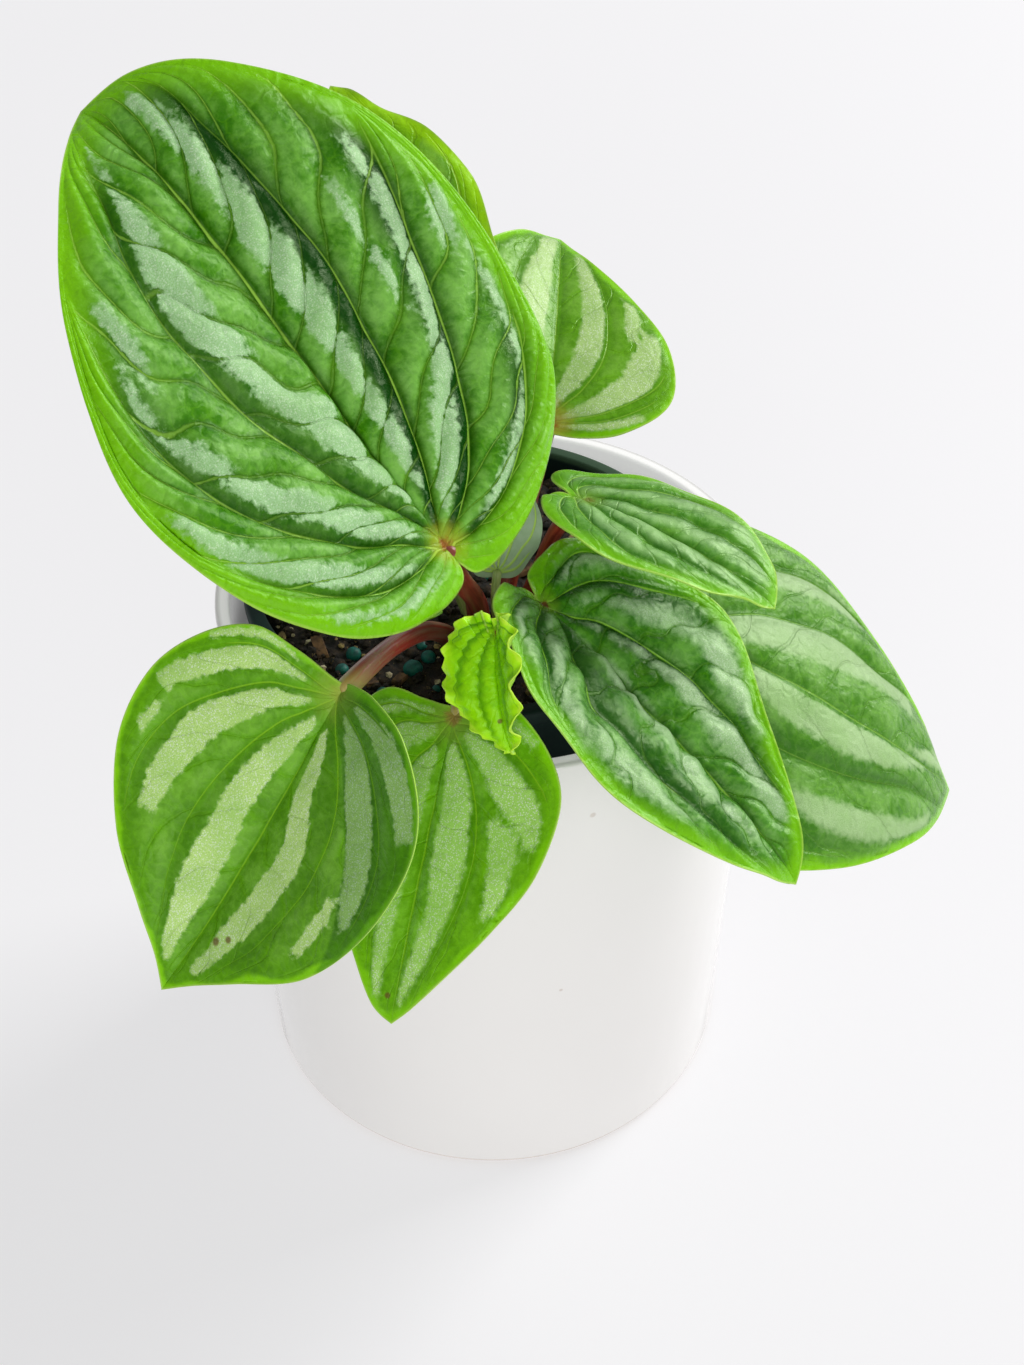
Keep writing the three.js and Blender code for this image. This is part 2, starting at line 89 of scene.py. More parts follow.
class Wire:
    """A node's output. Arithmetic on it adds Math nodes to its material."""

    def __init__(self, bench: "Bench", socket: bpy.types.NodeSocket) -> None:
        """Hold an output socket of a bench's node tree."""
        self.bench = bench
        self.socket = socket

    def math(self, operation: str, first: "Input", second: "Input" = 0.0, clamp: bool = False) -> "Wire":
        """Add one Math node.

        Args:
            operation: The Math node's operation.
            first: Its first value.
            second: Its second value.
            clamp: Whether the result is kept between 0 and 1.

        Returns:
            The node's result.
        """
        settings = {"operation": operation, "use_clamp": clamp}
        return self.bench.out("ShaderNodeMath", settings, {0: first, 1: second})

    def __add__(self, other: "Input") -> "Wire":
        """Sum."""
        return self.math("ADD", self, other)

    def __radd__(self, other: "Input") -> "Wire":
        """Sum, the number first."""
        return self.math("ADD", other, self)

    def __sub__(self, other: "Input") -> "Wire":
        """Difference."""
        return self.math("SUBTRACT", self, other)

    def __rsub__(self, other: "Input") -> "Wire":
        """Difference, the number first."""
        return self.math("SUBTRACT", other, self)

    def __mul__(self, other: "Input") -> "Wire":
        """Product."""
        return self.math("MULTIPLY", self, other)

    def __rmul__(self, other: "Input") -> "Wire":
        """Product, the number first."""
        return self.math("MULTIPLY", other, self)

    def __truediv__(self, other: "Input") -> "Wire":
        """Quotient."""
        return self.math("DIVIDE", self, other)

    def __pow__(self, other: "Input") -> "Wire":
        """Power."""
        return self.math("POWER", self, other)

    def __abs__(self) -> "Wire":
        """Size without sign."""
        return self.math("ABSOLUTE", self)

    def wave(self) -> "Wire":
        """Distance from the nearest whole number, 0 to 0.5."""
        return abs(self.math("FRACT", self + 0.5) - 0.5)

    def held(self) -> "Wire":
        """The value kept between 0 and 1."""
        return self.math("ADD", self, 0.0, clamp=True)


Input = Union[Wire, float]


class Bench:
    """One material's node tree, and the ways nodes are added to it."""

    def __init__(self, name: str) -> None:
        """Start an empty material with this name."""
        self.material = bpy.data.materials.new(name)
        self.material.use_nodes = True
        self.tree = self.material.node_tree
        self.tree.nodes.clear()

    def add(self, kind: str, settings: Settings = None, sockets: Sockets = None) -> bpy.types.Node:
        """Add a node.

        Args:
            kind: The node's type.
            settings: Its properties, set first.
            sockets: Values or wires for its inputs, by name or number.

        Returns:
            The node.
        """
        node = self.tree.nodes.new(kind)
        for key, value in (settings or {}).items():
            setattr(node, key, value)
        for key, value in (sockets or {}).items():
            if isinstance(value, Wire):
                self.tree.links.new(value.socket, node.inputs[key])
            else:
                node.inputs[key].default_value = value
        return node

    def out(self, kind: str, settings: Settings = None, sockets: Sockets = None, output: Any = 0) -> Wire:
        """Add a node and take one of its outputs as a wire."""
        return Wire(self, self.add(kind, settings, sockets).outputs[output])

    def mix(self, factor: Input, first: Any, second: Any, blend: str = "MIX") -> Wire:
        """Blend two colours.

        Args:
            factor: Share of the second colour.
            first: Colour or wire.
            second: Colour or wire.
            blend: How they are blended.

        Returns:
            The blended colour.
        """
        settings = {"data_type": "RGBA", "blend_type": blend}
        return self.out("ShaderNodeMix", settings, {0: factor, 6: first, 7: second}, 2)

    def step(self, value: Input, low: float, high: float) -> Wire:
        """A soft step from 0 at low to 1 at high."""
        if low > high:
            return 1.0 - self.step(value, high, low)
        return self.out(
            "ShaderNodeMapRange", {"interpolation_type": "SMOOTHSTEP"},
            {0: value, 1: low, 2: high, 3: 0.0, 4: 1.0})

    def noise(self, where: Wire, scale: float, detail: float = 2.0, roughness: float = 0.5,
              warp: float = 0.0, output: Any = 0) -> Wire:
        """Smooth random values round 0.5.

        Args:
            where: Coordinates.
            scale: Features in one unit of the coordinates.
            detail: Octaves.
            roughness: Weight of the finer octaves.
            warp: Distortion.
            output: 0 for numbers or "Color" for colours.

        Returns:
            The noise.
        """
        return self.out(
            "ShaderNodeTexNoise", {"noise_dimensions": "3D"},
            {"Vector": where, "Scale": scale, "Detail": detail, "Roughness": roughness, "Distortion": warp},
            output)

    def cells(self, where: Wire, scale: float, feature: str = "DISTANCE_TO_EDGE") -> Wire:
        """Distance within random cells."""
        return self.out("ShaderNodeTexVoronoi", {"feature": feature}, {"Vector": where, "Scale": scale})

    def place(self) -> Wire:
        """The piece's own coordinates, in metres."""
        return self.out("ShaderNodeTexCoord", output="Object")

    def map(self, name: str) -> Wire:
        """A UV map of the piece."""
        return self.out("ShaderNodeUVMap", {"uv_map": name})

    def split(self, vector: Wire) -> tuple[Wire, Wire, Wire]:
        """The three parts of a vector."""
        node = self.add("ShaderNodeSeparateXYZ", sockets={0: vector})
        return Wire(self, node.outputs[0]), Wire(self, node.outputs[1]), Wire(self, node.outputs[2])

    def measure(self, name: str) -> Wire:
        """A number stored on the piece's points."""
        settings = {"attribute_name": name, "attribute_type": "GEOMETRY"}
        return self.out("ShaderNodeAttribute", settings, output="Fac")

    def spot(self, where: Wire, centre: Point, radius: float) -> Wire:
        """A soft round spot: 1 at its centre and 0 past its radius."""
        away = self.out("ShaderNodeVectorMath", {"operation": "DISTANCE"}, {0: where, 1: centre}, "Value")
        return self.step(away, radius, radius * 0.45)

    def stretched(self, where: Wire, scale: Point) -> Wire:
        """Coordinates scaled apart along their axes."""
        return self.out("ShaderNodeMapping", sockets={"Vector": where, "Scale": scale})

    def coat(self, base: Any, rough: Input, relief: Wire | None = None, height: float = 0.1,
             strength: float = 1.0, **fixed: Any) -> bpy.types.Material:
        """Close the material with a surface shader.

        Args:
            base: Base colour.
            rough: Roughness.
            relief: Fine relief, 0 to 1.
            height: Height of the relief in millimetres.
            strength: How strongly the relief shows.
            **fixed: Other shader sockets, underscores for spaces.

        Returns:
            The finished material.
        """
        sockets: dict[str, Any] = {"Base Color": base, "Roughness": rough}
        sockets.update({key.replace("_", " "): value for key, value in fixed.items()})
        if relief is not None:
            bump = {"Strength": strength, "Distance": height * MM, "Height": relief}
            sockets["Normal"] = self.out("ShaderNodeBump", sockets=bump)
        surface = self.out("ShaderNodeBsdfPrincipled", sockets=sockets)
        self.add("ShaderNodeOutputMaterial", sockets={"Surface": surface})
        return self.material


# -------------------------------------------------------------------- mesh tools


def clear_selection() -> None:
    """Leave edit mode and deselect everything."""
    if bpy.context.object and bpy.context.object.mode != "OBJECT":
        bpy.ops.object.mode_set(mode="OBJECT")
    bpy.ops.object.select_all(action="DESELECT")


def select_only(*pieces: bpy.types.Object) -> None:
    """Select these pieces alone, with the first one active."""
    clear_selection()
    for piece in pieces:
        piece.select_set(True)
    bpy.context.view_layer.objects.active = pieces[0]


def open_whole(piece: bpy.types.Object) -> None:
    """Open a piece in edit mode with its whole mesh selected."""
    select_only(piece)
    bpy.ops.object.mode_set(mode="EDIT")
    bpy.ops.mesh.select_all(action="SELECT")


def name_new(name: str) -> bpy.types.Object:
    """Name the active piece, such as a new primitive, and its mesh."""
    piece = bpy.context.object
    piece.name = name
    piece.data.name = name
    return piece


def join(parts: Sequence[bpy.types.Object], name: str) -> bpy.types.Object:
    """Join pieces into one with this name."""
    select_only(*parts)
    bpy.ops.object.join()
    return name_new(name)


def points_of(piece: bpy.types.Object) -> np.ndarray:
    """The piece's points, one row each, in metres."""
    points = np.empty(len(piece.data.vertices) * 3)
    piece.data.vertices.foreach_get("co", points)
    return points.reshape(-1, 3)


def move_points(piece: bpy.types.Object, points: np.ndarray) -> None:
    """Put the piece's points at new places, in metres."""
    piece.data.vertices.foreach_set("co", np.ascontiguousarray(points, dtype=np.float64).ravel())
    piece.data.update()


def corners_of(piece: bpy.types.Object) -> tuple[np.ndarray, np.ndarray]:
    """The point and the face of each face corner."""
    mesh = piece.data
    point = np.empty(len(mesh.loops), dtype=np.int64)
    mesh.loops.foreach_get("vertex_index", point)
    totals = np.empty(len(mesh.polygons), dtype=np.int64)
    mesh.polygons.foreach_get("loop_total", totals)
    return point, np.repeat(np.arange(len(totals)), totals)


def add_map(piece: bpy.types.Object, name: str, across: np.ndarray, along: np.ndarray) -> None:
    """Give the piece a UV map from one pair of values per face corner."""
    layer = piece.data.uv_layers.new(name=name)
    layer.uv.foreach_set("vector", np.column_stack([across, along]).astype(np.float32).ravel())


def add_measure(piece: bpy.types.Object, name: str, values: np.ndarray) -> None:
    """Give the piece one number per point."""
    attribute = piece.data.attributes.new(name, "FLOAT", "POINT")
    attribute.data.foreach_set("value", values.astype(np.float32))


def close_seams(piece: bpy.types.Object, distance: float = 0.02) -> None:
    """Merge points that lie together, and drop faces left with no area.

    Args:
        piece: The piece to mend.
        distance: How close points are merged, in millimetres.
    """
    open_whole(piece)
    bpy.ops.mesh.remove_doubles(threshold=distance * MM)
    bpy.ops.mesh.dissolve_degenerate(threshold=1e-7)
    bpy.ops.object.mode_set(mode="OBJECT")


def face_outwards(piece: bpy.types.Object) -> None:
    """Turn a closed piece's faces outwards."""
    open_whole(piece)
    bpy.ops.mesh.normals_make_consistent(inside=False)
    bpy.ops.object.mode_set(mode="OBJECT")


def apply_modifier(piece: bpy.types.Object, kind: str, **settings: Any) -> None:
    """Add a modifier with these settings and apply it."""
    select_only(piece)
    modifier = piece.modifiers.new(kind.title(), kind)
    for key, value in settings.items():
        setattr(modifier, key, value)
    bpy.ops.object.modifier_apply(modifier=modifier.name)


def smooth(piece: bpy.types.Object, angle: float | None = None) -> None:
    """Shade a piece smooth, keeping edges sharper than an angle in degrees."""
    select_only(piece)
    if angle is None:
        bpy.ops.object.shade_smooth()
    else:
        bpy.ops.object.shade_smooth_by_angle(angle=math.radians(angle))


def grid_sheet(name: str, rows: int, columns: int) -> tuple[bpy.types.Object, np.ndarray, np.ndarray]:
    """A flat grid to be shaped.

    Args:
        name: The piece's name.
        rows: Cells along.
        columns: Cells across.

    Returns:
        The piece, and for each point its share along and across, 0 to 1.
    """
    clear_selection()
    bpy.ops.mesh.primitive_grid_add(x_subdivisions=rows, y_subdivisions=columns, size=2)
    piece = name_new(name)
    flat = points_of(piece)
    return piece, (flat[:, 0] + 1) / 2, (flat[:, 1] + 1) / 2


def ring_stack(name: str, rings: Sequence[Pair], sides: int, centre: Pair = (0.0, 0.0)) -> bpy.types.Object:
    """A round closed body, extruded ring by ring from its base.

    Args:
        name: The piece's name.
        rings: Radius and height of each ring, from the first cap to the last.
        sides: Points in each ring.
        centre: Its axis.

    Returns:
        The body.
    """
    clear_selection()
    east, north = centre[0] * MM, centre[1] * MM
    radius, level = rings[0]
    bpy.ops.mesh.primitive_circle_add(
        vertices=sides, radius=radius * MM, fill_type="NGON", location=(east, north, level * MM))
    piece = name_new(name)
    bpy.ops.object.transform_apply(location=True, rotation=True, scale=True)
    open_whole(piece)
    for next_radius, next_level in rings[1:]:
        bpy.ops.mesh.extrude_region_move(TRANSFORM_OT_translate={"value": (0, 0, (next_level - level) * MM)})
        share = next_radius / radius
        bpy.ops.transform.resize(value=(share, share, 1), center_override=(east, north, next_level * MM))
        radius, level = next_radius, next_level
    bpy.ops.object.mode_set(mode="OBJECT")
    face_outwards(piece)
    return piece


def arc(centre: Pair, radius: float, start: float, stop: float, steps: int = 5) -> list[Pair]:
    """Points on a round edge, as radius and height.

    Args:
        centre: Centre of the rounding.
        radius: Its radius.
        start: First angle in degrees, 0 pointing outwards and 90 up.
        stop: Last angle.
        steps: Number of steps.

    Returns:
        The points from start to stop.
    """
    angles = [math.radians(start + (stop - start) * i / steps) for i in range(steps + 1)]
    return [(centre[0] + radius * math.cos(a), centre[1] + radius * math.sin(a)) for a in angles]


def soft_step(value: np.ndarray, low: float, high: float) -> np.ndarray:
    """A soft step from 0 at low to 1 at high."""
    share = np.clip((value - low) / (high - low), 0, 1)
    return share * share * (3 - 2 * share)


def through(knots: Sequence[Pair], place: np.ndarray) -> np.ndarray:
    """A smooth curve through knots, level before the first and after the last.

    Args:
        knots: Place and value of each.
        place: Where to read the curve.

    Returns:
        The values there.
    """
    places, values = np.array(knots, dtype=float).T
    slopes = np.gradient(values, places)
    start = np.clip(np.searchsorted(places, place, side="right") - 1, 0, len(places) - 2)
    gap = places[start + 1] - places[start]
    w = np.clip((place - places[start]) / gap, 0, 1)
    bow = w * (1 - w) * ((1 - w) * slopes[start] - w * slopes[start + 1]) * gap
    ease = w * w * (3 - 2 * w)
    return values[start] * (1 - ease) + values[start + 1] * ease + bow


def ripple(x: np.ndarray, y: np.ndarray, length: float, seed: int) -> np.ndarray:
    """Smooth random waves.

    Args:
        x: First coordinate.
        y: Second coordinate.
        length: Typical wavelength.
        seed: Draws the directions.

    Returns:
        Values between about -1 and 1.
    """
    waves, spread = 6, 3.2
    random = np.random.RandomState(seed)
    total = np.zeros_like(x, dtype=float)
    for _ in range(waves):
        angle, phase = random.uniform(0, FULL_TURN), random.uniform(0, FULL_TURN)
        stretch = random.uniform(0.7, 1.5)
        run = x * math.cos(angle) + y * math.sin(angle)
        total += np.sin(FULL_TURN * run / (length * stretch) + phase)
    return total / spread


def present(piece: bpy.types.Object, nodes: Sequence[str] = (),
            materials: Iterable[bpy.types.Material] = ()) -> None:
    """Dress a piece, tie it to its body and hide the CAD parts that it stands for.

    Args:
        piece: The finished piece.
        nodes: CAD nodes that it stands for.
        materials: Its materials, in slot order.
    """
    for material in materials:
        piece.data.materials.append(material)
    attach(piece, BODY)
    if nodes:
        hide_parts(*nodes)
    log.info("%s: %d points, %d faces", piece.name, len(piece.data.vertices), len(piece.data.polygons))


# ---------------------------------------------------------------------- finishes


@dataclass(frozen=True)
class CeramicGlaze:
    """White glaze: a glossy coat with faint waves, a darker, warmer band at the foot and two pin specks."""

    body: Colour = paint(219, 217, 214)
    shade: Colour = paint(212, 209, 206)
    speck: Colour = paint(150, 118, 92)
    foot: Colour = paint(176, 150, 128)
    foot_height: float = 1.8
    # Painted light: the glaze gives off light of its own, faint all over, brightest inside the mouth and most at the
    # back.
    painted_glow: float = 0.36
    painted_body_glow: Colour = (0.27, 0.27, 0.27, 1.0)
    painted_mouth_glow: Colour = (1.3, 1.3, 1.3, 1.0)
    mouth_level: Pair = (124.0, 138.0)
    mouth_radius: Pair = (61.4, 60.4)
    mouth_back: Pair = (0.0, 40.0)
    specks: tuple[tuple[Point, float], ...] = (((21.8, -57.7, 123.6), 0.9), ((16.1, -58.6, 67.2), 0.6))
    speck_strength: float = 0.38
    foot_strength: float = 0.9
    roughness: float = 0.13

    def material(self) -> bpy.types.Material:
        """The glaze."""
        bench = Bench("cachepot_glaze")
        where = bench.place()
        cloud = bench.noise(where, scale=14, detail=3)
        colour = bench.mix(cloud, self.body, self.shade)
        for centre, radius in self.specks:
            pin = bench.spot(where, tuple(value * MM for value in centre), radius * MM)
            colour = bench.mix(pin * self.speck_strength, colour, self.speck)
        east, north, level = bench.split(where)
        # A darker, warmer band round the foot.
        low = bench.step(level, self.foot_height * MM, self.foot_height * 0.4 * MM)
        colour = bench.mix(low * self.foot_strength, colour, self.foot)
        radius = (east * east + north * north) ** 0.5
        # Painted light: the mouth shines brighter than the body, more at the back.
        mouth = (bench.step(level, self.mouth_level[0] * MM, self.mouth_level[1] * MM)
                 * bench.step(radius, self.mouth_radius[0] * MM, self.mouth_radius[1] * MM))
        back = bench.step(north, self.mouth_back[0] * MM, self.mouth_back[1] * MM)
        light = bench.mix(mouth * (back * 0.5 + 0.5), self.painted_body_glow, self.painted_mouth_glow)
        skin = bench.noise(where, scale=60, detail=2)
        rough = bench.step(cloud, 0.2, 0.8) * 0.05 + self.roughness
        return bench.coat(colour, rough, skin, height=0.05, strength=0.25, Coat_Weight=0.3, Coat_Roughness=0.06,
                          Emission_Color=light, Emission_Strength=self.painted_glow)


@dataclass(frozen=True)
class PotPlastic:
    """Thin moulded plastic, dark green-black with a fine matt grain and painted light on its lip."""

    body: Colour = paint(8, 26, 23)
    worn: Colour = paint(22, 48, 43)
    # Colour, height and reach towards the back of the painted light on the lip top.
    lip: Colour = paint(66, 92, 68)
    lip_level: Pair = (142.6, 143.8)
    lip_back: float = 20.0
    painted_lip_light: float = 0.85
    roughness: float = 0.5
    shine: float = 0.22

    def material(self) -> bpy.types.Material:
        """The plastic."""
        bench = Bench("grow_pot_plastic")
        where = bench.place()
        cloud = bench.noise(where, scale=40, detail=4)
        colour = bench.mix(bench.step(cloud, 0.35, 0.75), self.body, self.worn)
        _, north, level = bench.split(where)
        # Painted light: the top of the lip is lighter, most at the back.
        lip = (bench.step(level, self.lip_level[0] * MM, self.lip_level[1] * MM)
               * bench.step(north, 0.0, self.lip_back * MM))
        colour = bench.mix(lip * self.painted_lip_light, colour, self.lip)
        grain = bench.noise(where, scale=1500, detail=2)
        return bench.coat(colour, cloud * 0.15 + self.roughness, grain, height=0.04, strength=0.5,
                          Specular_IOR_Level=self.shine)


@dataclass(frozen=True)
class PottingMix:
    """Moist peat: near black with brown crumbs and pale fibres."""

    wet: Colour = paint(20, 16, 12)
    peat: Colour = paint(56, 43, 28)
    fibre: Colour = paint(134, 112, 70)
    fibre_strength: float = 0.7
    roughness: float = 0.92

    def material(self, name: str = "potting_mix") -> bpy.types.Material:
        """The mix."""
        bench = Bench(name)
        where = bench.place()
        crumbs = bench.noise(where, scale=420, detail=5, roughness=0.65)
        colour = bench.mix(bench.step(crumbs, 0.4, 0.68), self.wet, self.peat)
        streaks = bench.noise(bench.stretched(where, (1, 0.35, 1)), scale=900, detail=3, roughness=0.6, warp=1.5)
        colour = bench.mix(bench.step(streaks, 0.63, 0.72) * self.fibre_strength, colour, self.fibre)
        return bench.coat(colour, self.roughness, crumbs, height=1.0, strength=0.9)


@dataclass(frozen=True)
class Mineral:
    """A grain of one colour with a rough, pitted skin."""

    name: str
    light: Colour
    dark: Colour
    roughness: float = 0.85
    scale: float = 700

    def material(self) -> bpy.types.Material:
        """The grain's skin."""
        bench = Bench(self.name)
        pits = bench.noise(bench.place(), self.scale, detail=3, roughness=0.6)
        colour = bench.mix(bench.step(pits, 0.35, 0.65), self.dark, self.light)
        return bench.coat(colour, self.roughness, pits, height=0.2, strength=0.6)


@dataclass(frozen=True)
class StalkSkin:
    """A fleshy stalk: a main colour with streaks and flecks, paler where it meets the blade."""

    name: str
    body: Colour
    streak: Colour
    pale: Colour
    fade: float = 0.1
    flecks: float = 0.25
    roughness: float = 0.34

    def material(self) -> bpy.types.Material:
        """The stalk's skin."""
        bench = Bench(self.name)
        around = bench.map("round")
        streaks = bench.noise(bench.stretched(around, (9, 1.3, 1)), scale=2.0, detail=4, roughness=0.6)
        colour = bench.mix(bench.step(streaks, 0.42, 0.62), self.body, self.streak)
        flecks = bench.step(bench.noise(bench.place(), scale=1400, detail=3), 0.58, 0.7)
        colour = bench.mix(flecks * self.flecks, colour, self.pale)
        _, along, _ = bench.split(around)
        colour = bench.mix(bench.step(along, 0.86, 0.99) * self.fade, colour, self.pale)
        return bench.coat(colour, self.roughness, streaks, height=0.15, strength=0.4,
                          Subsurface_Weight=0.08, Subsurface_Scale=0.002)


FLAT_UNIT = 100.0  # millimetres of the flat blade to one unit of its "flat" map


@dataclass(frozen=True)
class LeafPaint:
    """Colours and pattern strengths of one leaf. Distances are in millimetres.

    `dark` lies along the main veins, partly the leaf's own colour and partly painted shade
    in their valleys; `deep` and `mid` mottle the blade, `lime` tints its margin as far as
    `lime_reach`, and `silver` fills the bands, whose borders are `ragged`, softened by
    `feather`, pulled in by `inset`, pushed out by `crest` between the side veins and cut
    by `broken` along them.
    `painted_sheen` is the painted sheen between the side veins and `painted_crease_shade`
    the painted shade beside them, `sparkle` the painted glints in the silver. `joint` and
    `halo` colour the spot where the stalk meets the blade, and each scar is a place along
    and from the midrib with a radius.
    """

    dark: Colour = paint(12, 70, 2)
    deep: Colour = paint(44, 112, 2)
    mid: Colour = paint(94, 166, 10)
    lime: Colour = paint(132, 210, 4)
    silver: Colour = paint(190, 226, 164)
    vein: Colour = paint(178, 220, 40)
    joint: Colour = paint(160, 44, 22)
    halo: Colour = paint(190, 150, 66)
    rim: Colour = paint(176, 214, 90)
    under: Colour = paint(150, 178, 140)
    shadow: Colour = paint(158, 186, 166)
    painted_glint: Colour = paint(226, 240, 212)
    scar: Colour = paint(104, 70, 34)
    scars: tuple[Point, ...] = ()
    minor_edge: float = 0.0
    lime_reach: float = 7.0
    lime_gain: float = 0.85
    pigment_and_valley_shade: float = 0.8
    silver_gain: float = 1.0
    ragged: float = 3.0
    feather: float = 0.45
    broken: float = 0.0
    inset: float = 0.0
    crest: float = 0.6
    painted_crease_shade: float = 0.06
    painted_sheen: float = 0.1
    sparkle: float = 0.0
    minor_tint: float = 0.1
    vein_width: float = 0.45
    joint_reach: float = 2.6
    roughness: float = 0.27
    shine: float = 0.3
    sheen: Colour = (0.75, 1.0, 0.5, 1.0)
    cell_size: float = 3.2
    bump: float = 0.35

    @staticmethod
    def noises(bench: Bench, flat: Wire) -> tuple[Wire, Wire]:
        """The fine mottle and the grain that both sides of a blade share."""
        fine = bench.noise(flat, scale=60, detail=4, roughness=0.6)
        return fine, bench.noise(flat, scale=420, detail=3, roughness=0.65)

    def upper(self, name: str, spacing: float) -> bpy.types.Material:
        """The upper side.

        Args:
            name: The material's name.
            spacing: Distance between secondary veins in millimetres.

        Returns:
            The material.
        """
        bench = Bench(name)
        flat = bench.map("flat")
        across, _, _ = bench.split(bench.map("cells"))
        edge, vein = bench.measure("edge"), bench.measure("vein")
        band, joint = bench.measure("silver"), bench.measure("joint")
        taper, pigment_and_valley_shade, shade = bench.measure("taper"), bench.measure("pigment_and_valley_shade"), bench.measure("shade")

        # The mottled green ground with its net of finest veins.
        blotch = bench.noise(flat, scale=9, detail=3)
        fine, grain = self.noises(bench, flat)
        wavy = bench.mix(0.035, flat, bench.noise(flat, scale=30, output="Color"))
        net = bench.cells(wavy, FLAT_UNIT / self.cell_size)
        colour = bench.mix(bench.step(blotch * 0.6 + fine * 0.4, 0.35, 0.66), self.deep, self.mid)
        colour = bench.mix(bench.step(net, 0.09, 0.0) * 0.12, colour, self.lime)

        # Painted sheen on the pillows between the side veins; dark along the main veins, partly the
        # leaf's own colour and partly painted shade in their valleys; painted shade in the creases.
        line = across.wave() * spacing
        minor = bench.step(line + (fine - 0.5) * 0.9, 0.5, 0.15) * bench.step(edge, 0.8, 2.6)
        pillow = bench.step(line + (fine - 0.5) * 0.8, 0.0, 1.9) * bench.step(vein, 0.2, 2.0)
        # Painted sheen: the tops of the pillows are mixed towards the silver colour.
        painted_sheen_mask = pillow * bench.step(blotch * 0.7 + fine * 0.3, 0.38, 0.62) * bench.step(edge, 1.0, 8.0)
        colour = bench.mix(painted_sheen_mask * self.painted_sheen, colour, self.silver)
        # Dark beside the main veins: partly the leaf's own colour, partly painted shade in their valleys.
        colour = bench.mix((pigment_and_valley_shade * (blotch * 0.8 + 0.6)).held() * self.pigment_and_valley_shade, colour, self.dark)
        # Painted shade: darker in the creases between the pillows.
        painted_crease_shade = (1.0 - pillow) * bench.step(edge, 1.0, 5.0)
        colour = bench.mix(painted_crease_shade * self.painted_crease_shade, colour, self.dark)

        # The silver bands, with ragged borders.
        inside = band + (fine - 0.5) * self.ragged + (grain - 0.5) * self.ragged * 0.2 - minor * self.broken
        inside = inside + (pillow - 0.7) * self.crest - self.inset
        silver = bench.step(inside, -self.feather, self.feather) * self.silver_gain
        silver = silver * bench.step(vein, 0.1, 0.7)
        worn = bench.step(grain * 0.35 + blotch * 0.65, 0.62, 0.4)
        pale = bench.mix(bench.step(grain, 0.35, 0.7) * 0.42, self.silver, self.mid)
        # Painted glints: light points scattered in the silver.
        points = bench.step(bench.cells(flat, 260, "F1"), 0.45, 0.2)
        pale = bench.mix(points * self.sparkle, pale, self.painted_glint)
        colour = bench.mix((silver * (worn * 0.3 + 0.68)).held(), colour, pale)

        # The lime margin, the veins and the pale rim.
        lime = bench.step(edge + (blotch - 0.5) * 6.0, self.lime_reach, 0.3) * self.lime_gain
        colour = bench.mix(lime * (1.0 - silver * 0.75), colour, self.lime)
        outer = bench.step(edge, 22.0, 5.0) * self.minor_edge + self.minor_tint
        colour = bench.mix(minor * outer * (1.0 - silver), colour, self.vein)
        major = bench.step(vein / taper, self.vein_width, self.vein_width * 0.35)
        colour = bench.mix(major * bench.step(taper, 0.4, 0.95) * 0.9, colour, self.vein)
        colour = bench.mix(bench.step(edge, 0.5, 0.1) * 0.7, colour, self.rim)

        # The spot over the stalk, the painted shadow on the side that lies in shade, and the scars.
        halo = bench.step(joint + (fine - 0.5) * 4.0, self.joint_reach * 3.0, self.joint_reach * 0.8)
        colour = bench.mix(halo * 0.55, colour, self.halo)
        spot = bench.step(joint + (fine - 0.5) * 3.0, self.joint_reach, self.joint_reach * 0.35)
        colour = bench.mix(spot * 0.9, colour, self.joint)
        # Painted shadow: the colour is multiplied towards the shadow tint inside the shade zones.
        colour = bench.mix(bench.step(shade, -0.4, 0.5) * 0.75, colour, self.shadow, "MULTIPLY")
        for x, y, radius in self.scars:
            scar = bench.spot(flat, (x / FLAT_UNIT, y / FLAT_UNIT, 0.0), radius / FLAT_UNIT)
            colour = bench.mix(scar * 0.8, colour, self.scar)

        relief = grain * 0.35 + fine * 0.5 + bench.step(net, 0.0, 0.35) * 0.6 - minor * 0.9 - major * 0.6
        rough = silver * 0.1 + (fine - 0.5) * 0.16 + self.roughness
        return bench.coat(colour, rough, relief, self.bump, strength=0.6,
                          Specular_IOR_Level=self.shine, Specular_Tint=self.sheen)

    def lower(self, name: str) -> bpy.types.Material:
        """The paler, duller underside."""
        bench = Bench(name)
        flat = bench.map("flat")
        vein, taper = bench.measure("vein"), bench.measure("taper")
        fine, grain = self.noises(bench, flat)
        colour = bench.mix(bench.step(fine, 0.3, 0.7) * 0.35, self.under, self.mid)
        major = bench.step(vein / taper, self.vein_width * 1.6, self.vein_width * 0.5)
        colour = bench.mix(major * 0.7, colour, self.vein)
        return bench.coat(colour, 0.5, grain * 0.4 + fine * 0.6 + major, height=0.3, strength=0.5)

    def edge(self, name: str) -> bpy.types.Material:
        """The thin pale rim."""
        bench = Bench(name)
        cloud = bench.noise(bench.place(), scale=300, detail=2)
        return bench.coat(bench.mix(cloud * 0.5, self.rim, self.lime), 0.4)


# ------------------------------------------------------------------------- pots


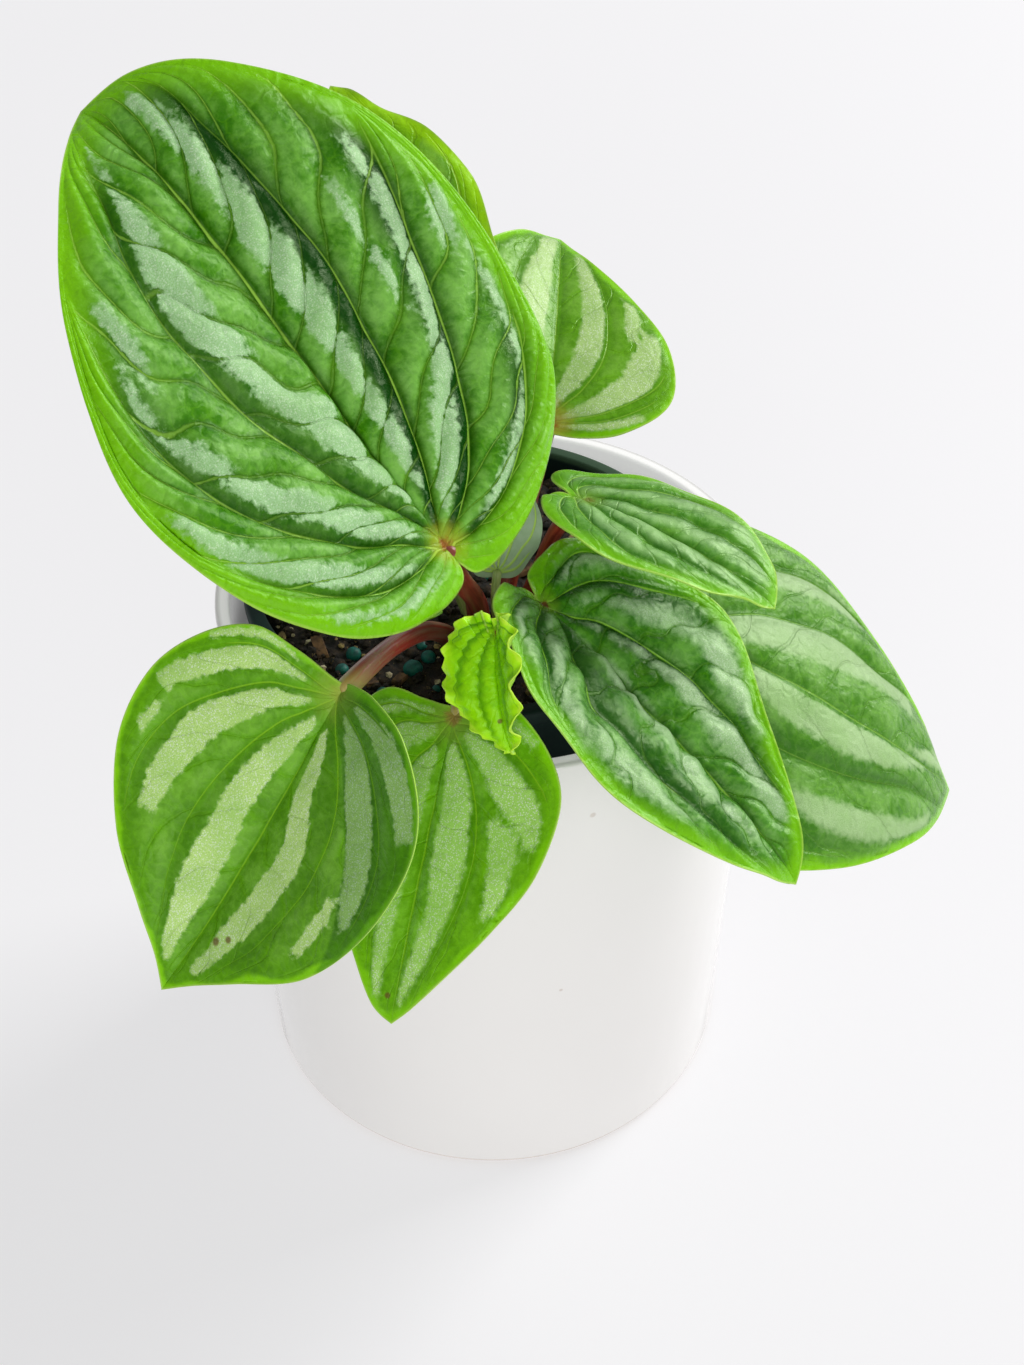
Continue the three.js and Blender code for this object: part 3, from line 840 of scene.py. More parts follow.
@dataclass
class Cachepot:
    """The white ceramic outer pot, turned with a flat rim and softened edges."""

    height: float = 140.0
    rim_radius: float = 62.0
    base_radius: float = 59.6
    wall: float = 3.5
    floor: float = 5.0
    base_edge: float = 1.6
    rim_edge: float = 0.9
    corner: float = 3.0
    sides: int = 192
    edge_angle: float = 40.0
    glaze: CeramicGlaze = field(default_factory=CeramicGlaze)

    def rings(self) -> list[Pair]:
        """The pot's section, from the middle of its foot to the middle of its floor."""
        foot = arc((self.base_radius - self.base_edge, self.base_edge), self.base_edge, -90, 0)
        shoulder = self.height - self.rim_edge
        rim_out = arc((self.rim_radius - self.rim_edge, shoulder), self.rim_edge, 0, 90)
        rim_in = arc((self.rim_radius - self.wall + self.rim_edge, shoulder), self.rim_edge, 90, 180)
        inner = self.base_radius - self.wall
        corner = arc((inner - self.corner, self.floor + self.corner), self.corner, 0, -90)
        return [(20, 0), (50, 0), *foot, *rim_out, *rim_in, *corner, (30, self.floor), (6, self.floor)]

    def build(self) -> None:
        """Turn the pot and dress it."""
        pot = ring_stack("cachepot_body", self.rings(), self.sides)
        smooth(pot, self.edge_angle)
        present(pot, ["cachepot"], [self.glaze.material()])


@dataclass
class GrowPot:
    """The plastic pot inside, with its rolled lip and drain holes."""

    centre: Pair = (-4.5, 0.0)
    foot_level: float = 5.3
    lip_top: float = 144.5
    lip_radius: float = 51.0
    lip_height: float = 3.5
    lip_rounding: float = 1.1
    mouth_radius: float = 47.5
    mouth_rounding: float = 0.6
    wall: float = 1.2
    floor: float = 1.6
    foot_radius: float = 40.0
    drain_holes: int = 6
    drain_radius: float = 4.0
    drain_circle: float = 27.0
    sides: int = 144
    edge_angle: float = 35.0
    plastic: PotPlastic = field(default_factory=PotPlastic)

    def inside(self, level: float) -> float:
        """Inner radius at a height."""
        share = (level - self.foot_level) / (self.lip_top - self.foot_level)
        foot = self.foot_radius - self.wall
        return foot + (self.mouth_radius - foot) * share

    def rings(self) -> list[Pair]:
        """The pot's section, from under its foot over the lip to its floor."""
        foot, lip = self.foot_level, self.lip_top
        under, base = lip - self.lip_height, foot + self.floor
        top_out = arc((self.lip_radius - self.lip_rounding, lip - self.lip_rounding), self.lip_rounding, 0, 90)
        top_in = arc((self.inside(lip) + self.mouth_rounding, lip - self.mouth_rounding),
                     self.mouth_rounding, 90, 180, 4)
        return [
            (6, foot), (self.foot_radius - 0.8, foot), (self.foot_radius, foot + 0.8),
            (self.inside(under) + self.wall, under), (self.lip_radius - 0.4, under), (self.lip_radius, under + 0.4),
            *top_out, *top_in, (self.inside(base + 2), base + 2), (self.inside(base) - 2, base), (6, base)]

    def build(self) -> None:
        """Turn the pot, cut its drain holes and dress it."""
        pot = ring_stack("grow_pot_body", self.rings(), self.sides, self.centre)
        for i in range(self.drain_holes):
            angle = FULL_TURN * i / self.drain_holes
            clear_selection()
            bpy.ops.mesh.primitive_cylinder_add(
                vertices=32, radius=self.drain_radius * MM, depth=4 * self.floor * MM,
                location=((self.centre[0] + self.drain_circle * math.cos(angle)) * MM,
                          (self.centre[1] + self.drain_circle * math.sin(angle)) * MM,
                          (self.foot_level + self.floor / 2) * MM))
            cutter = name_new("drain_cutter")
            apply_modifier(pot, "BOOLEAN", object=cutter, operation="DIFFERENCE", solver="EXACT")
            bpy.data.objects.remove(cutter)
        smooth(pot, self.edge_angle)
        present(pot, ["grow_pot"], [self.plastic.material()])


# ------------------------------------------------------------------------- soil


@dataclass
class SoilBed:
    """Potting mix with crumbs, bark, perlite and slow-release granules."""

    centre: Pair = (-4.5, 0.0)
    level: float = 138.2
    rim: float = 46.7
    foot: float = 38.5
    bottom: float = 7.4
    relief: tuple[tuple[float, float, int], ...] = ((0.9 * 0.55, 17, 5), (0.9 * 0.45, 6, 9), (0.25, 2.2, 3))
    top_share: float = 0.8
    wall_share: float = 0.15
    rim_drop: float = 2.2
    chip_height: float = 1.8
    granules: tuple[Point, ...] = (
        (-29.5, -23.5, 3.3), (-31.6, -29.1, 3.0), (-16.4, -28.8, 4.3), (-13.2, -24.9, 3.3),
        (-18.4, -21.2, 3.0), (-14.8, -21.1, 2.4), (-13.1, -18.4, 2.4), (-11.2, -35.5, 1.9),
        (-1.5, 2.9, 3.2), (22.0, 24.0, 3.6), (-26.0, 18.0, 3.8), (8.0, 30.0, 3.3),
        (30.0, -6.0, 3.5), (-40.0, 2.0, 3.4), (12.0, -38.0, 3.6), (-22.5, -36.5, 2.8))
    bark: tuple[tuple[float, float, float, float, float], ...] = (
        (6.5, 5.4, 7, 4, 20), (-33, -12, 6, 3, 70), (-20, 22, 8, 4, 130), (24, 10, 7, 4, 160),
        (10, -33, 6, 3.5, 40), (-26, -34, 5, 2.4, 15), (-37, -22, 6, 2.6, 110), (-19, -33, 4, 2, 65))
    grit: tuple[Point, ...] = (
        (-39.2, -19.9, 2.0), (-35.8, -27.9, 1.7), (-21.4, -31.1, 1.9), (-11.1, -24.9, 1.3), (-10.9, -33.1, 1.7))

    def surface(self, x: np.ndarray, y: np.ndarray) -> np.ndarray:
        """Height of the soil at a place, from waves of a size, a length and a seed."""
        height = self.level
        for size, length, seed in self.relief:
            height = height + size * ripple(x, y, length, seed)
        return height

    def level_at(self, x: float, y: float) -> float:
        """Height of the soil at one place."""
        return float(self.surface(np.array([x]), np.array([y]))[0])

    def bed(self) -> None:
        """The soil's body: a rough disc with a side down the pot's wall."""
        piece, along, across = grid_sheet("soil_bed", 76, 180)
        angle = FULL_TURN * across
        inner = np.clip(along / self.top_share, 0, 1) ** 0.9
        radius = self.rim * inner
        x = self.centre[0] + radius * np.cos(angle)
        y = self.centre[1] + radius * np.sin(angle)
        z = self.surface(x, y) - self.rim_drop * soft_step(inner, 0.93, 1.0)
        down = np.clip((along - self.top_share) / self.wall_share, 0, 1)
        z = z + (self.bottom - z) * down
        wall_end, floor_share = 0.95, 0.05
        closing = np.clip((along - wall_end) / floor_share, 0, 1)
        side = (self.rim + (self.foot - self.rim) * down) * (1 - closing)
        beyond = along > self.top_share
        x = np.where(beyond, self.centre[0] + side * np.cos(angle), x)
        y = np.where(beyond, self.centre[1] + side * np.sin(angle), y)
        move_points(piece, np.column_stack([x, y, z]) * MM)
        close_seams(piece)
        face_outwards(piece)
        smooth(piece)
        present(piece, ["soil"], [PottingMix().material()])

    def lumps(self, name: str, places: Sequence[Point], detail: int, flatten: float,
              rough: float, seed: int, sink: float = 0.15) -> bpy.types.Object:
        """Many small rounded lumps as one piece.

        Args:
            name: The piece's name.
            places: Place and width of each lump.
            detail: Subdivisions of the starting ball.
            flatten: Height as a share of the width.
            rough: Unevenness as a share of the radius.
            seed: Draws the turns and dents.
            sink: How far each sits in the soil, as a share of its width.

        Returns:
            The piece.
        """
        clear_selection()
        bpy.ops.mesh.primitive_ico_sphere_add(subdivisions=detail, radius=1)
        pattern = name_new(name)
        ball = points_of(pattern)
        faces = np.array([list(p.vertices) for p in pattern.data.polygons])
        random = np.random.RandomState(seed)
        all_points, all_faces = [], []
        for i, (x, y, width) in enumerate(places):
            tip, nod, _ = random.uniform(0, FULL_TURN, 3)
            tipped = np.array([[1, 0, 0], [0, math.cos(tip), -math.sin(tip)], [0, math.sin(tip), math.cos(tip)]])
            nodded = np.array([[math.cos(nod), 0, math.sin(nod)], [0, 1, 0], [-math.sin(nod), 0, math.cos(nod)]])
            shape = (ball * (1 + rough * random.uniform(-1, 1, (len(ball), 1)))) @ tipped @ nodded
            stretch = random.uniform(1 - rough, 1 + rough, 3) * (1, 1, flatten)
            level = self.level_at(x, y) + width * (flatten / 2 - sink)
            all_points.append(shape * stretch * width / 2 + (x, y, level))
            all_faces.append(faces + i * len(ball))
        mesh = bpy.data.meshes.new(name)
        mesh.from_pydata((np.vstack(all_points) * MM).tolist(), [], np.vstack(all_faces).tolist())
        old = pattern.data
        pattern.data = mesh
        bpy.data.meshes.remove(old)
        return pattern

    def scatter(self, count: int, low: float, high: float, seed: int) -> list[Point]:
        """Random places on the soil.

        Args:
            count: How many.
            low: Smallest width.
            high: Largest width.
            seed: Draws them.

        Returns:
            Place and width of each.
        """
        margin = 1.5
        random = np.random.RandomState(seed)
        radius = (self.rim - margin) * np.sqrt(random.uniform(0, 1, count))
        angle = random.uniform(0, FULL_TURN, count)
        width = low + (high - low) * random.uniform(0, 1, count) ** 2
        return [(self.centre[0] + r * math.cos(a), self.centre[1] + r * math.sin(a), w)
                for r, a, w in zip(radius, angle, width)]

    def chips(self) -> bpy.types.Object:
        """The bark chips as one piece."""
        parts = []
        random = np.random.RandomState(4)
        for x, y, length, width, turn in self.bark:
            clear_selection()
            bpy.ops.mesh.primitive_cube_add(size=1)
            chip = name_new("bark_chip")
            open_whole(chip)
            bpy.ops.mesh.subdivide(number_cuts=4)
            bpy.ops.object.mode_set(mode="OBJECT")
            box = points_of(chip)
            dents = [ripple(box[:, 1], box[:, 2], 0.6, 1), ripple(box[:, 0], box[:, 2], 0.7, 2),
                     ripple(box[:, 0], box[:, 1], 0.5, 3)]
            box += 0.06 * np.column_stack(dents)
            box[:, :2] *= 1 - 0.12 * np.abs(box[:, 2:3]) * 2
            box *= (length, width, self.chip_height)
            tilt, angle = math.radians(random.uniform(-12, 12)), math.radians(turn)
            box[:, 2] += box[:, 0] * math.tan(tilt)
            turned = np.column_stack([
                box[:, 0] * math.cos(angle) - box[:, 1] * math.sin(angle) + x,
                box[:, 0] * math.sin(angle) + box[:, 1] * math.cos(angle) + y,
                box[:, 2] + self.level_at(x, y) + 0.35])
            move_points(chip, turned * MM)
            parts.append(chip)
        piece = join(parts, "bark_chips")
        smooth(piece, 50)
        return piece

    def build(self) -> None:
        """Lay the soil and everything in it."""
        self.bed()
        clod_mix = PottingMix(peat=paint(62, 46, 30))
        perlite = Mineral("perlite_grit", paint(214, 200, 164), paint(150, 134, 100))
        wood = Mineral("wood_grit", paint(170, 148, 92), paint(104, 84, 48))
        feed = Mineral("feed_granules", paint(6, 112, 98), paint(2, 80, 74), roughness=0.55, scale=500)
        bark = Mineral("bark_chips", paint(120, 88, 54), paint(56, 38, 24), roughness=0.9, scale=350)
        pieces = [
            (self.lumps("soil_crumbs", self.scatter(1500, 0.7, 2.6, 21), 1, 0.75, 0.28, 31),
             PottingMix().material("soil_crumbs")),
            (self.lumps("peat_clods", self.scatter(170, 2.4, 5.0, 22), 2, 0.55, 0.2, 32, 0.28),
             clod_mix.material("peat_clods")),
            (self.lumps("perlite_grit", list(self.grit) + self.scatter(90, 0.6, 1.6, 23), 1, 0.85, 0.25, 33),
             perlite.material()),
            (self.lumps("wood_grit", self.scatter(160, 0.8, 2.4, 24), 1, 0.6, 0.35, 34), wood.material()),
            (self.lumps("feed_granules", self.granules, 3, 0.95, 0.03, 35, 0.3), feed.material()),
            (self.chips(), bark.material()),
        ]
        for piece, material in pieces:
            if piece.name in ("feed_granules", "peat_clods"):
                smooth(piece)
            present(piece, (), [material])


@dataclass
class Crown:
    """The short knotty stem base that the stalks grow from, and its roots."""

    x: float = -1.0
    y: float = -16.0
    radius: float = 8.8
    top: float = 138.6
    neck: float = 5.2
    root_tip: float = 2.2
    root_depth: float = 26.0
    sides: int = 40
    knots: float = 4.5

    def build(self) -> None:
        """Shape the crown from rings and roughen it."""
        rings = [(self.root_tip, self.top - self.root_depth), (self.neck, self.top - 0.45 * self.root_depth),
                 (self.radius - 1, self.top - 6), (self.radius, self.top - 4), (self.radius - 0.3, self.top - 1.5),
                 (self.radius - 1.5, self.top - 0.5), (self.radius - 4, self.top), (1.0, self.top + 0.1)]
        piece = ring_stack("crown_stem", rings, self.sides, (self.x, self.y))
        apply_modifier(piece, "SUBSURF", levels=2, render_levels=2)
        points = points_of(piece) / MM
        lump = ripple(points[:, 0], points[:, 1] + points[:, 2], self.knots, 12)
        away = points[:, :2] - (self.x, self.y)
        points[:, :2] += away * (0.05 * lump)[:, None]
        points[:, 2] += 0.25 * lump
        move_points(piece, points * MM)
        smooth(piece)
        bark = Mineral("crown_bark", paint(126, 66, 44), paint(66, 34, 24), roughness=0.7, scale=260)
        present(piece, ["crown"], [bark.material()])


@dataclass
class Sprout:
    """A tiny bright seedling beside the crown."""

    x: float = -16.4
    y: float = -16.5
    level: float = 138.2
    height: float = 4.5
    root: float = 3.6
    stem: float = 0.6
    lean: float = 1.2
    blade: float = 5.5
    leaflets: tuple[Point, ...] = ((25, 1.0, 12), (165, 0.75, 30), (280, 0.6, 38))

    def shoot(self) -> bpy.types.Object:
        """The stem, a closed tube that leans a little."""
        stem, along, across = grid_sheet("sprout_shoot", 16, 14)
        angle = FULL_TURN * across
        radius = self.stem * np.sin(math.pi * np.clip(along, 0, 1)) ** 0.25
        lean = self.lean * along ** 2
        points = np.column_stack([
            self.x + lean + radius * np.cos(angle), self.y + radius * np.sin(angle),
            self.level - self.root + (self.height + self.root) * along])
        move_points(stem, points * MM)
        close_seams(stem)
        face_outwards(stem)
        return stem

    def leaflet(self, turn: float, size: float, lift: float) -> bpy.types.Object:
        """One folded leaflet.

        Args:
            turn: Its heading in degrees.
            size: Its length as a share of the largest one's.
            lift: How steeply it rises in degrees.

        Returns:
            The leaflet, with its thickness.
        """
        leaf, along, across = grid_sheet("sprout_leaflet", 16, 12)
        side = 2 * across - 1
        reach = self.blade * size * along
        width = 0.34 * self.blade * size * np.sin(math.pi * along ** 0.8) ** 0.7
        out = reach * math.cos(math.radians(lift))
        rise = reach * math.sin(math.radians(lift)) - 0.9 * along ** 3 * size + 0.7 * side ** 2 * width / 2
        heading = math.radians(turn)
        points = np.column_stack([
            self.x + self.lean + out * math.cos(heading) - side * width * math.sin(heading),
            self.y + out * math.sin(heading) + side * width * math.cos(heading),
            self.level + self.height - 0.3 + rise])
        move_points(leaf, points * MM)
        close_seams(leaf)
        apply_modifier(leaf, "SOLIDIFY", thickness=0.35 * MM, offset=0)
        return leaf

    def build(self) -> None:
        """Shape the stem and its leaflets and dress them."""
        sprout = join([self.shoot(), *(self.leaflet(*shape) for shape in self.leaflets)], "sprout_shoot")
        smooth(sprout)
        skin = Mineral("sprout_skin", paint(150, 210, 40), paint(96, 160, 24), roughness=0.4, scale=300)
        present(sprout, ["sprout"], [skin.material()])


# ----------------------------------------------------------------------- leaves


class Age(Enum):
    """What kind of blade a leaf has."""

    GROWN = "leaf"
    FRESH = "fresh_leaf"
    PALE = "pale_leaf"


class StalkKind(Enum):
    """The colour family of a leaf's stalk."""

    RED = "red_stalk"
    PALE = "pale_stalk"


@dataclass(frozen=True)
class Vein:
    """A side vein: at percent of the length, its percent of the half width."""

    knots: tuple[Pair, ...]

    def at(self, share: np.ndarray) -> np.ndarray:
        """Share of the half width at a share of the length."""
        return np.clip(through(np.array(self.knots) / 100, share), 0, 0.98) * share / (share + 0.012)


@dataclass(frozen=True)
class Band:
    """A silver band: at percent of the length, its borders in percent of the half width."""

    knots: tuple[Point, ...]

    def depth(self, share: np.ndarray, across: np.ndarray, wide: np.ndarray, length: float) -> np.ndarray:
        """How far inside the band a place lies.

        Args:
            share: Share of the length.
            across: Share of the half width.
            wide: Half width there in millimetres.
            length: Length of the leaf in millimetres.

        Returns:
            The distance from its border in millimetres, below 0 outside.
        """
        knots = np.array(self.knots) / 100
        inner, outer = through(knots[:, :2], share), through(knots[:, ::2], share)
        sideways = np.minimum(across - inner, outer - across) * wide
        endwise = np.minimum(share - knots[0, 0], knots[-1, 0] - share) * length
        return np.minimum(sideways, endwise)


@dataclass(frozen=True)
class Spots:
    """Where the grid points of a blade lie in its pattern.

    `share` runs along the length and `side` across, from -1 at the right edge
    over 0 at the midrib to 1 at the left. `lane` is the number of the lane
    between two veins, `within` the place in it and `across` the share of the
    half width. `wide` is the half width and `width` the lane's width, and `x`
    and `y` are the place on the flat blade, in millimetres.
    """

    share: np.ndarray
    side: np.ndarray
    lane: np.ndarray
    within: np.ndarray
    across: np.ndarray
    wide: np.ndarray
    width: np.ndarray
    x: np.ndarray
    y: np.ndarray


Zones = tuple[tuple[Band, ...], tuple[Band, ...]]

RED_SKIN = StalkSkin("red_stalk_skin", paint(112, 34, 20), paint(150, 66, 44), paint(190, 140, 110))
PALE_SKIN = StalkSkin("pale_stalk_skin", paint(140, 164, 80), paint(170, 186, 112), paint(196, 202, 150))
PINK_SKIN = StalkSkin("pink_stalk_skin", paint(150, 104, 84), paint(150, 44, 34), paint(172, 170, 84), fade=0.7)
THREE_VEINS = (
    Vein(((10, 50), (30, 40), (50, 38), (70, 48), (85, 75), (94, 98))),
    Vein(((10, 68), (20, 67), (40, 70), (60, 84), (75, 98))),
    Vein(((10, 78), (20, 82), (35, 90), (50, 98))))
PLAIN_BANDS = (
    Band(((10, 18, 36), (40, 12, 32), (65, 15, 38), (80, 30, 60), (90, 50, 85))),
    Band(((12, 54, 62), (35, 45, 62), (55, 55, 74), (68, 70, 88))),
    Band(((14, 70, 78), (30, 74, 86), (48, 86, 94))))


@dataclass(frozen=True)
class Leaf:
    """One leaf: a heart-shaped blade, bowed, folded and quilted, on its stalk.

    `at` is where the stalk meets the blade, `heading`, `pitch` and `roll` turn
    it there, `bend` and `curl` bow it down along its length and at its tip,
    `fold` lifts and `arch` rounds off its left and right halves, `twist` turns
    it from stalk to tip. `left` and `right` are the edge from the notch to the
    tip as distance along and from the midrib. The stalk leaves the crown at
    the angle and distance in `foot`, rises by `rise` while leaning over by
    `lean`, and comes into the blade from `under` below and `behind` it.
    `swell` is how far the blade stands up between its veins, and `quilt` and
    `valley` are how deep and wide the creases of the `cells` are that each
    lane is cut into, with a `slant`. `ruffle` and `waves` wave the edge.
    """

    name: str
    at: Point
    heading: float
    pitch: float
    roll: float
    bend: float
    curl: float
    fold: Pair
    arch: Pair
    twist: float
    left: Outline
    right: Outline
    foot: Pair
    lean: Pair
    rise: float
    under: float
    behind: float
    stalk: float
    swell: float = 0.8
    quilt: float = 0.5
    valley: float = 0.14
    ruffle: float = 0.4
    waves: float = 4
    teeth: float = 0.0
    cells: float = 9
    slant: float = 1.6
    thickness: float = 0.9
    rim_share: float = 0.4
    rows: int = 110
    lane_columns: int = 9
    stalk_steps: int = 90
    stalk_sides: int = 24
    tip_share: float = 0.955
    age: Age = Age.GROWN
    stalk_kind: StalkKind = StalkKind.RED
    pigment_and_shade_sides: Pair = (1.0, 1.0)
    skin: StalkSkin = RED_SKIN
    shades: Zones = ((), ())
    veins: tuple[tuple[Vein, ...], tuple[Vein, ...]] = (THREE_VEINS, THREE_VEINS)
    bands: Zones = (PLAIN_BANDS, PLAIN_BANDS)
    paint: LeafPaint = field(default_factory=LeafPaint)

    @property
    def length(self) -> float:
        """Length of the midrib."""
        return self.left[-1][0]

    @property
    def lanes(self) -> int:
        """Lanes between the veins in each half."""
        return len(self.veins[0]) + 1

    @property
    def seed(self) -> int:
        """What the leaf's own random waves are drawn from."""
        return ord(self.name)

    def axes(self) -> tuple[np.ndarray, np.ndarray, np.ndarray]:
        """The blade's directions at its stalk: along, across to the left, up."""
        heading, pitch, roll = (math.radians(a) for a in (self.heading, self.pitch, self.roll))
        along = np.array([math.cos(pitch) * math.cos(heading), math.cos(pitch) * math.sin(heading), math.sin(pitch)])
        level = np.array([-math.sin(heading), math.cos(heading), 0.0])
        above = np.cross(along, level)
        across = level * math.cos(roll) + above * math.sin(roll)
        up = above * math.cos(roll) - level * math.sin(roll)
        return along, across, up

    @staticmethod
    def edge_at(outline: Outline, share: np.ndarray) -> tuple[np.ndarray, np.ndarray]:
        """Point on the edge, on a smooth curve through the outline's points.

        Args:
            outline: The points.
            share: Share of the way from the notch to the tip.

        Returns:
            Distance along the midrib and from it.
        """
        knots = np.array(outline)
        last = len(knots) - 1
        place = np.clip(share, 0, 1) * last
        start = np.minimum(np.floor(place).astype(int), last)
        w = (place - start)[:, None]
        before, here = knots[np.maximum(start - 1, 0)], knots[start]
        after, beyond = knots[np.minimum(start + 1, last)], knots[np.minimum(start + 2, last)]
        v0, v1 = (after - before) / 2, (beyond - here) / 2
        run = (2 * here - 2 * after + v0 + v1) * w ** 3 + (3 * after - 3 * here - 2 * v0 - v1) * w ** 2 + v0 * w + here
        return run[:, 0], run[:, 1]

    def droop(self, share: np.ndarray) -> np.ndarray:
        """The blade's slope at shares of its length, in radians."""
        return -np.radians(self.bend * share + np.where(share > 0, self.curl * share ** 4, 0))

    def surface(self, x: np.ndarray, y: np.ndarray) -> np.ndarray:
        """Place of flat blade points on the bowed, folded blade.

        Args:
            x: Distance along the midrib from the stalk.
            y: Distance from the midrib, to the left.

        Returns:
            One row for each point.
        """
        along, across, up = self.axes()
        length, half = self.length, 0.45 * self.length
        steps = 24
        middle = (np.arange(steps) + 0.5) / steps
        angle = self.droop(middle * (x / length)[:, None])
        forward, rise = np.cos(angle).mean(1) * x, np.sin(angle).mean(1) * x
        end = self.droop(x / length)[:, None]
        normal = up * np.cos(end) - along * np.sin(end)
        left = y >= 0
        fold = np.where(left, self.fold[0], self.fold[1])
        arch = np.where(left, self.arch[0], self.arch[1])
        reach = np.abs(y)
        lateral = np.radians(fold[:, None] - arch[:, None] * reach[:, None] * middle / half)
        out, lift = np.cos(lateral).mean(1) * reach, np.sin(lateral).mean(1) * reach
        turn = np.radians(self.twist * x / length)[:, None]
        sideways = across * np.cos(turn) + normal * np.sin(turn)
        raised = normal * np.cos(turn) - across * np.sin(turn)
        return (np.array(self.at) + along * forward[:, None] + up * rise[:, None]
                + sideways * (np.sign(y) * out)[:, None] + raised * lift[:, None])

    def upward(self, x: np.ndarray, y: np.ndarray) -> np.ndarray:
        """The blade's normal at flat points."""
        step = 0.8
        ahead = self.surface(x + step, y) - self.surface(x - step, y)
        aside = self.surface(x, y + step) - self.surface(x, y - step)
        normal = np.cross(ahead, aside)
        return normal / np.linalg.norm(normal, axis=1)[:, None]

    @staticmethod
    def borders(veins: Sequence[Vein], share: np.ndarray, lane: np.ndarray) -> tuple[np.ndarray, np.ndarray]:
        """The borders of each place's lane, as shares of the half width."""
        least_gap = 0.004
        runs = [np.zeros_like(share)]
        for vein in veins:
            runs.append(np.maximum(vein.at(share), runs[-1] + least_gap))
        runs.append(np.ones_like(share))
        runs = np.minimum(np.array(runs), 1.0)
        index = np.arange(len(share))
        return runs[lane, index], runs[lane + 1, index]

    def saw(self, share: np.ndarray) -> np.ndarray:
        """How far the frilled edge's teeth reach out, in millimetres."""
        tooth = np.abs(((share * self.cells * 2.2) % 1) - 0.5) * 2
        return self.teeth * (tooth - 0.4) * soft_step(share, 0.03, 0.12) * (1 - soft_step(share, 0.93, 1))

    def layout(self, share: np.ndarray, side: np.ndarray) -> Spots:
        """Where grid points lie in the leaf's pattern.

        Args:
            share: Share of the length.
            side: Signed share across.

        Returns:
            All that Spots holds.
        """
        lanes = self.lanes
        place = np.abs(side) * lanes
        lane = np.minimum(np.floor(place + 1e-9).astype(int), lanes - 1)
        within = np.clip(place - lane, 0, 1)
        across = np.zeros_like(share)
        x, y = np.zeros_like(share), np.zeros_like(share)
        wide, width = np.ones_like(share), np.zeros_like(share)
        halves = ((side >= 0, 1, self.veins[0], self.left), (side < 0, -1, self.veins[1], self.right))
        for mine, sign, veins, outline in halves:
            low, high = self.borders(veins, share, lane)
            t = low + (high - low) * within
            edge_x, edge_y = self.edge_at(outline, share)
            if self.teeth:
                edge_y = edge_y + self.saw(share)
            across = np.where(mine, t, across)
            half = np.maximum(np.hypot(edge_x - share * self.length, edge_y), 0.5)
            wide = np.where(mine, half, wide)
            width = np.where(mine, (high - low) * half, width)
            x = np.where(mine, (1 - t) * share * self.length + t * edge_x, x)
            y = np.where(mine, sign * t * edge_y, y)
        return Spots(share, side, lane, within, across, wide, width, x, y)

    def cell_run(self, share: np.ndarray, side: np.ndarray, lane: np.ndarray, within: np.ndarray,
                 x: np.ndarray, y: np.ndarray) -> np.ndarray:
        """Counts the secondary veins along a lane: whole at each vein."""
        shift = 0.37 * lane + np.where(side >= 0, 0.0, 0.21) * (lane + 1)
        wander = (0.22 * ripple(x, y, 0.35 * self.length, self.seed)
                  + 0.16 * ripple(x, y, 0.13 * self.length, self.seed + 1))
        return self.cells * share - self.slant * within + shift + wander

    def relief(self, spots: Spots) -> np.ndarray:
        """How far the blade stands off its smooth form, in millimetres."""
        share, within, across = spots.share, spots.within, spots.across
        dome = (4 * within * (1 - within)) ** 0.65
        room = np.minimum(1, spots.width / 9) * soft_step(spots.width, 0.5, 3)
        ends = np.minimum(1, 4.5 * share * (1 - share)) * (1 - 0.35 * across ** 2) * room
        run = self.cell_run(share, spots.side, spots.lane, within, spots.x, spots.y)
        near = np.abs((run + 0.5) % 1 - 0.5)
        valley = np.exp(-((near / self.valley) ** 2)) * dome * (0.45 + 0.8 * share)
        height = self.swell * (dome - 0.35) * ends - self.quilt * valley * ends
        height += 0.18 * self.swell * ripple(spots.x, spots.y, 0.16 * self.length, self.seed + 7) * ends
        wave = self.ruffle * across ** 4 * np.sin(FULL_TURN * self.waves * share) * np.minimum(1, 6 * (1 - share))
        return height + wave

    def depth_in(self, zones: Zones, spots: Spots) -> np.ndarray:
        """How far inside the nearest zone each place lies.

        Args:
            zones: The zones of the left and the right half.
            spots: The places.

        Returns:
            The distance in millimetres, below 0 outside, held to 4 either way.
        """
        most = 4.0
        deepest = np.full_like(spots.share, -most)
        for mine, row in ((spots.side >= 0, zones[0]), (spots.side < 0, zones[1])):
            for band in row:
                depth = band.depth(spots.share, spots.across, spots.wide, self.length)
                deepest = np.where(mine, np.maximum(deepest, depth), deepest)
        return np.minimum(deepest, most)

    def edge_distance(self, spots: Spots) -> np.ndarray:
        """Distance of each place from the blade's edge on the flat, in millimetres."""
        samples = np.linspace(0, 1, 240)
        left = np.column_stack(self.edge_at(self.left, samples))
        right = np.column_stack(self.edge_at(self.right, samples)) * (1, -1)
        rim = np.vstack([left, right])
        away = (spots.x[:, None] - rim[None, :, 0]) ** 2 + (spots.y[:, None] - rim[None, :, 1]) ** 2
        return np.where(spots.across > 0.9999, 0, np.sqrt(away.min(1)))

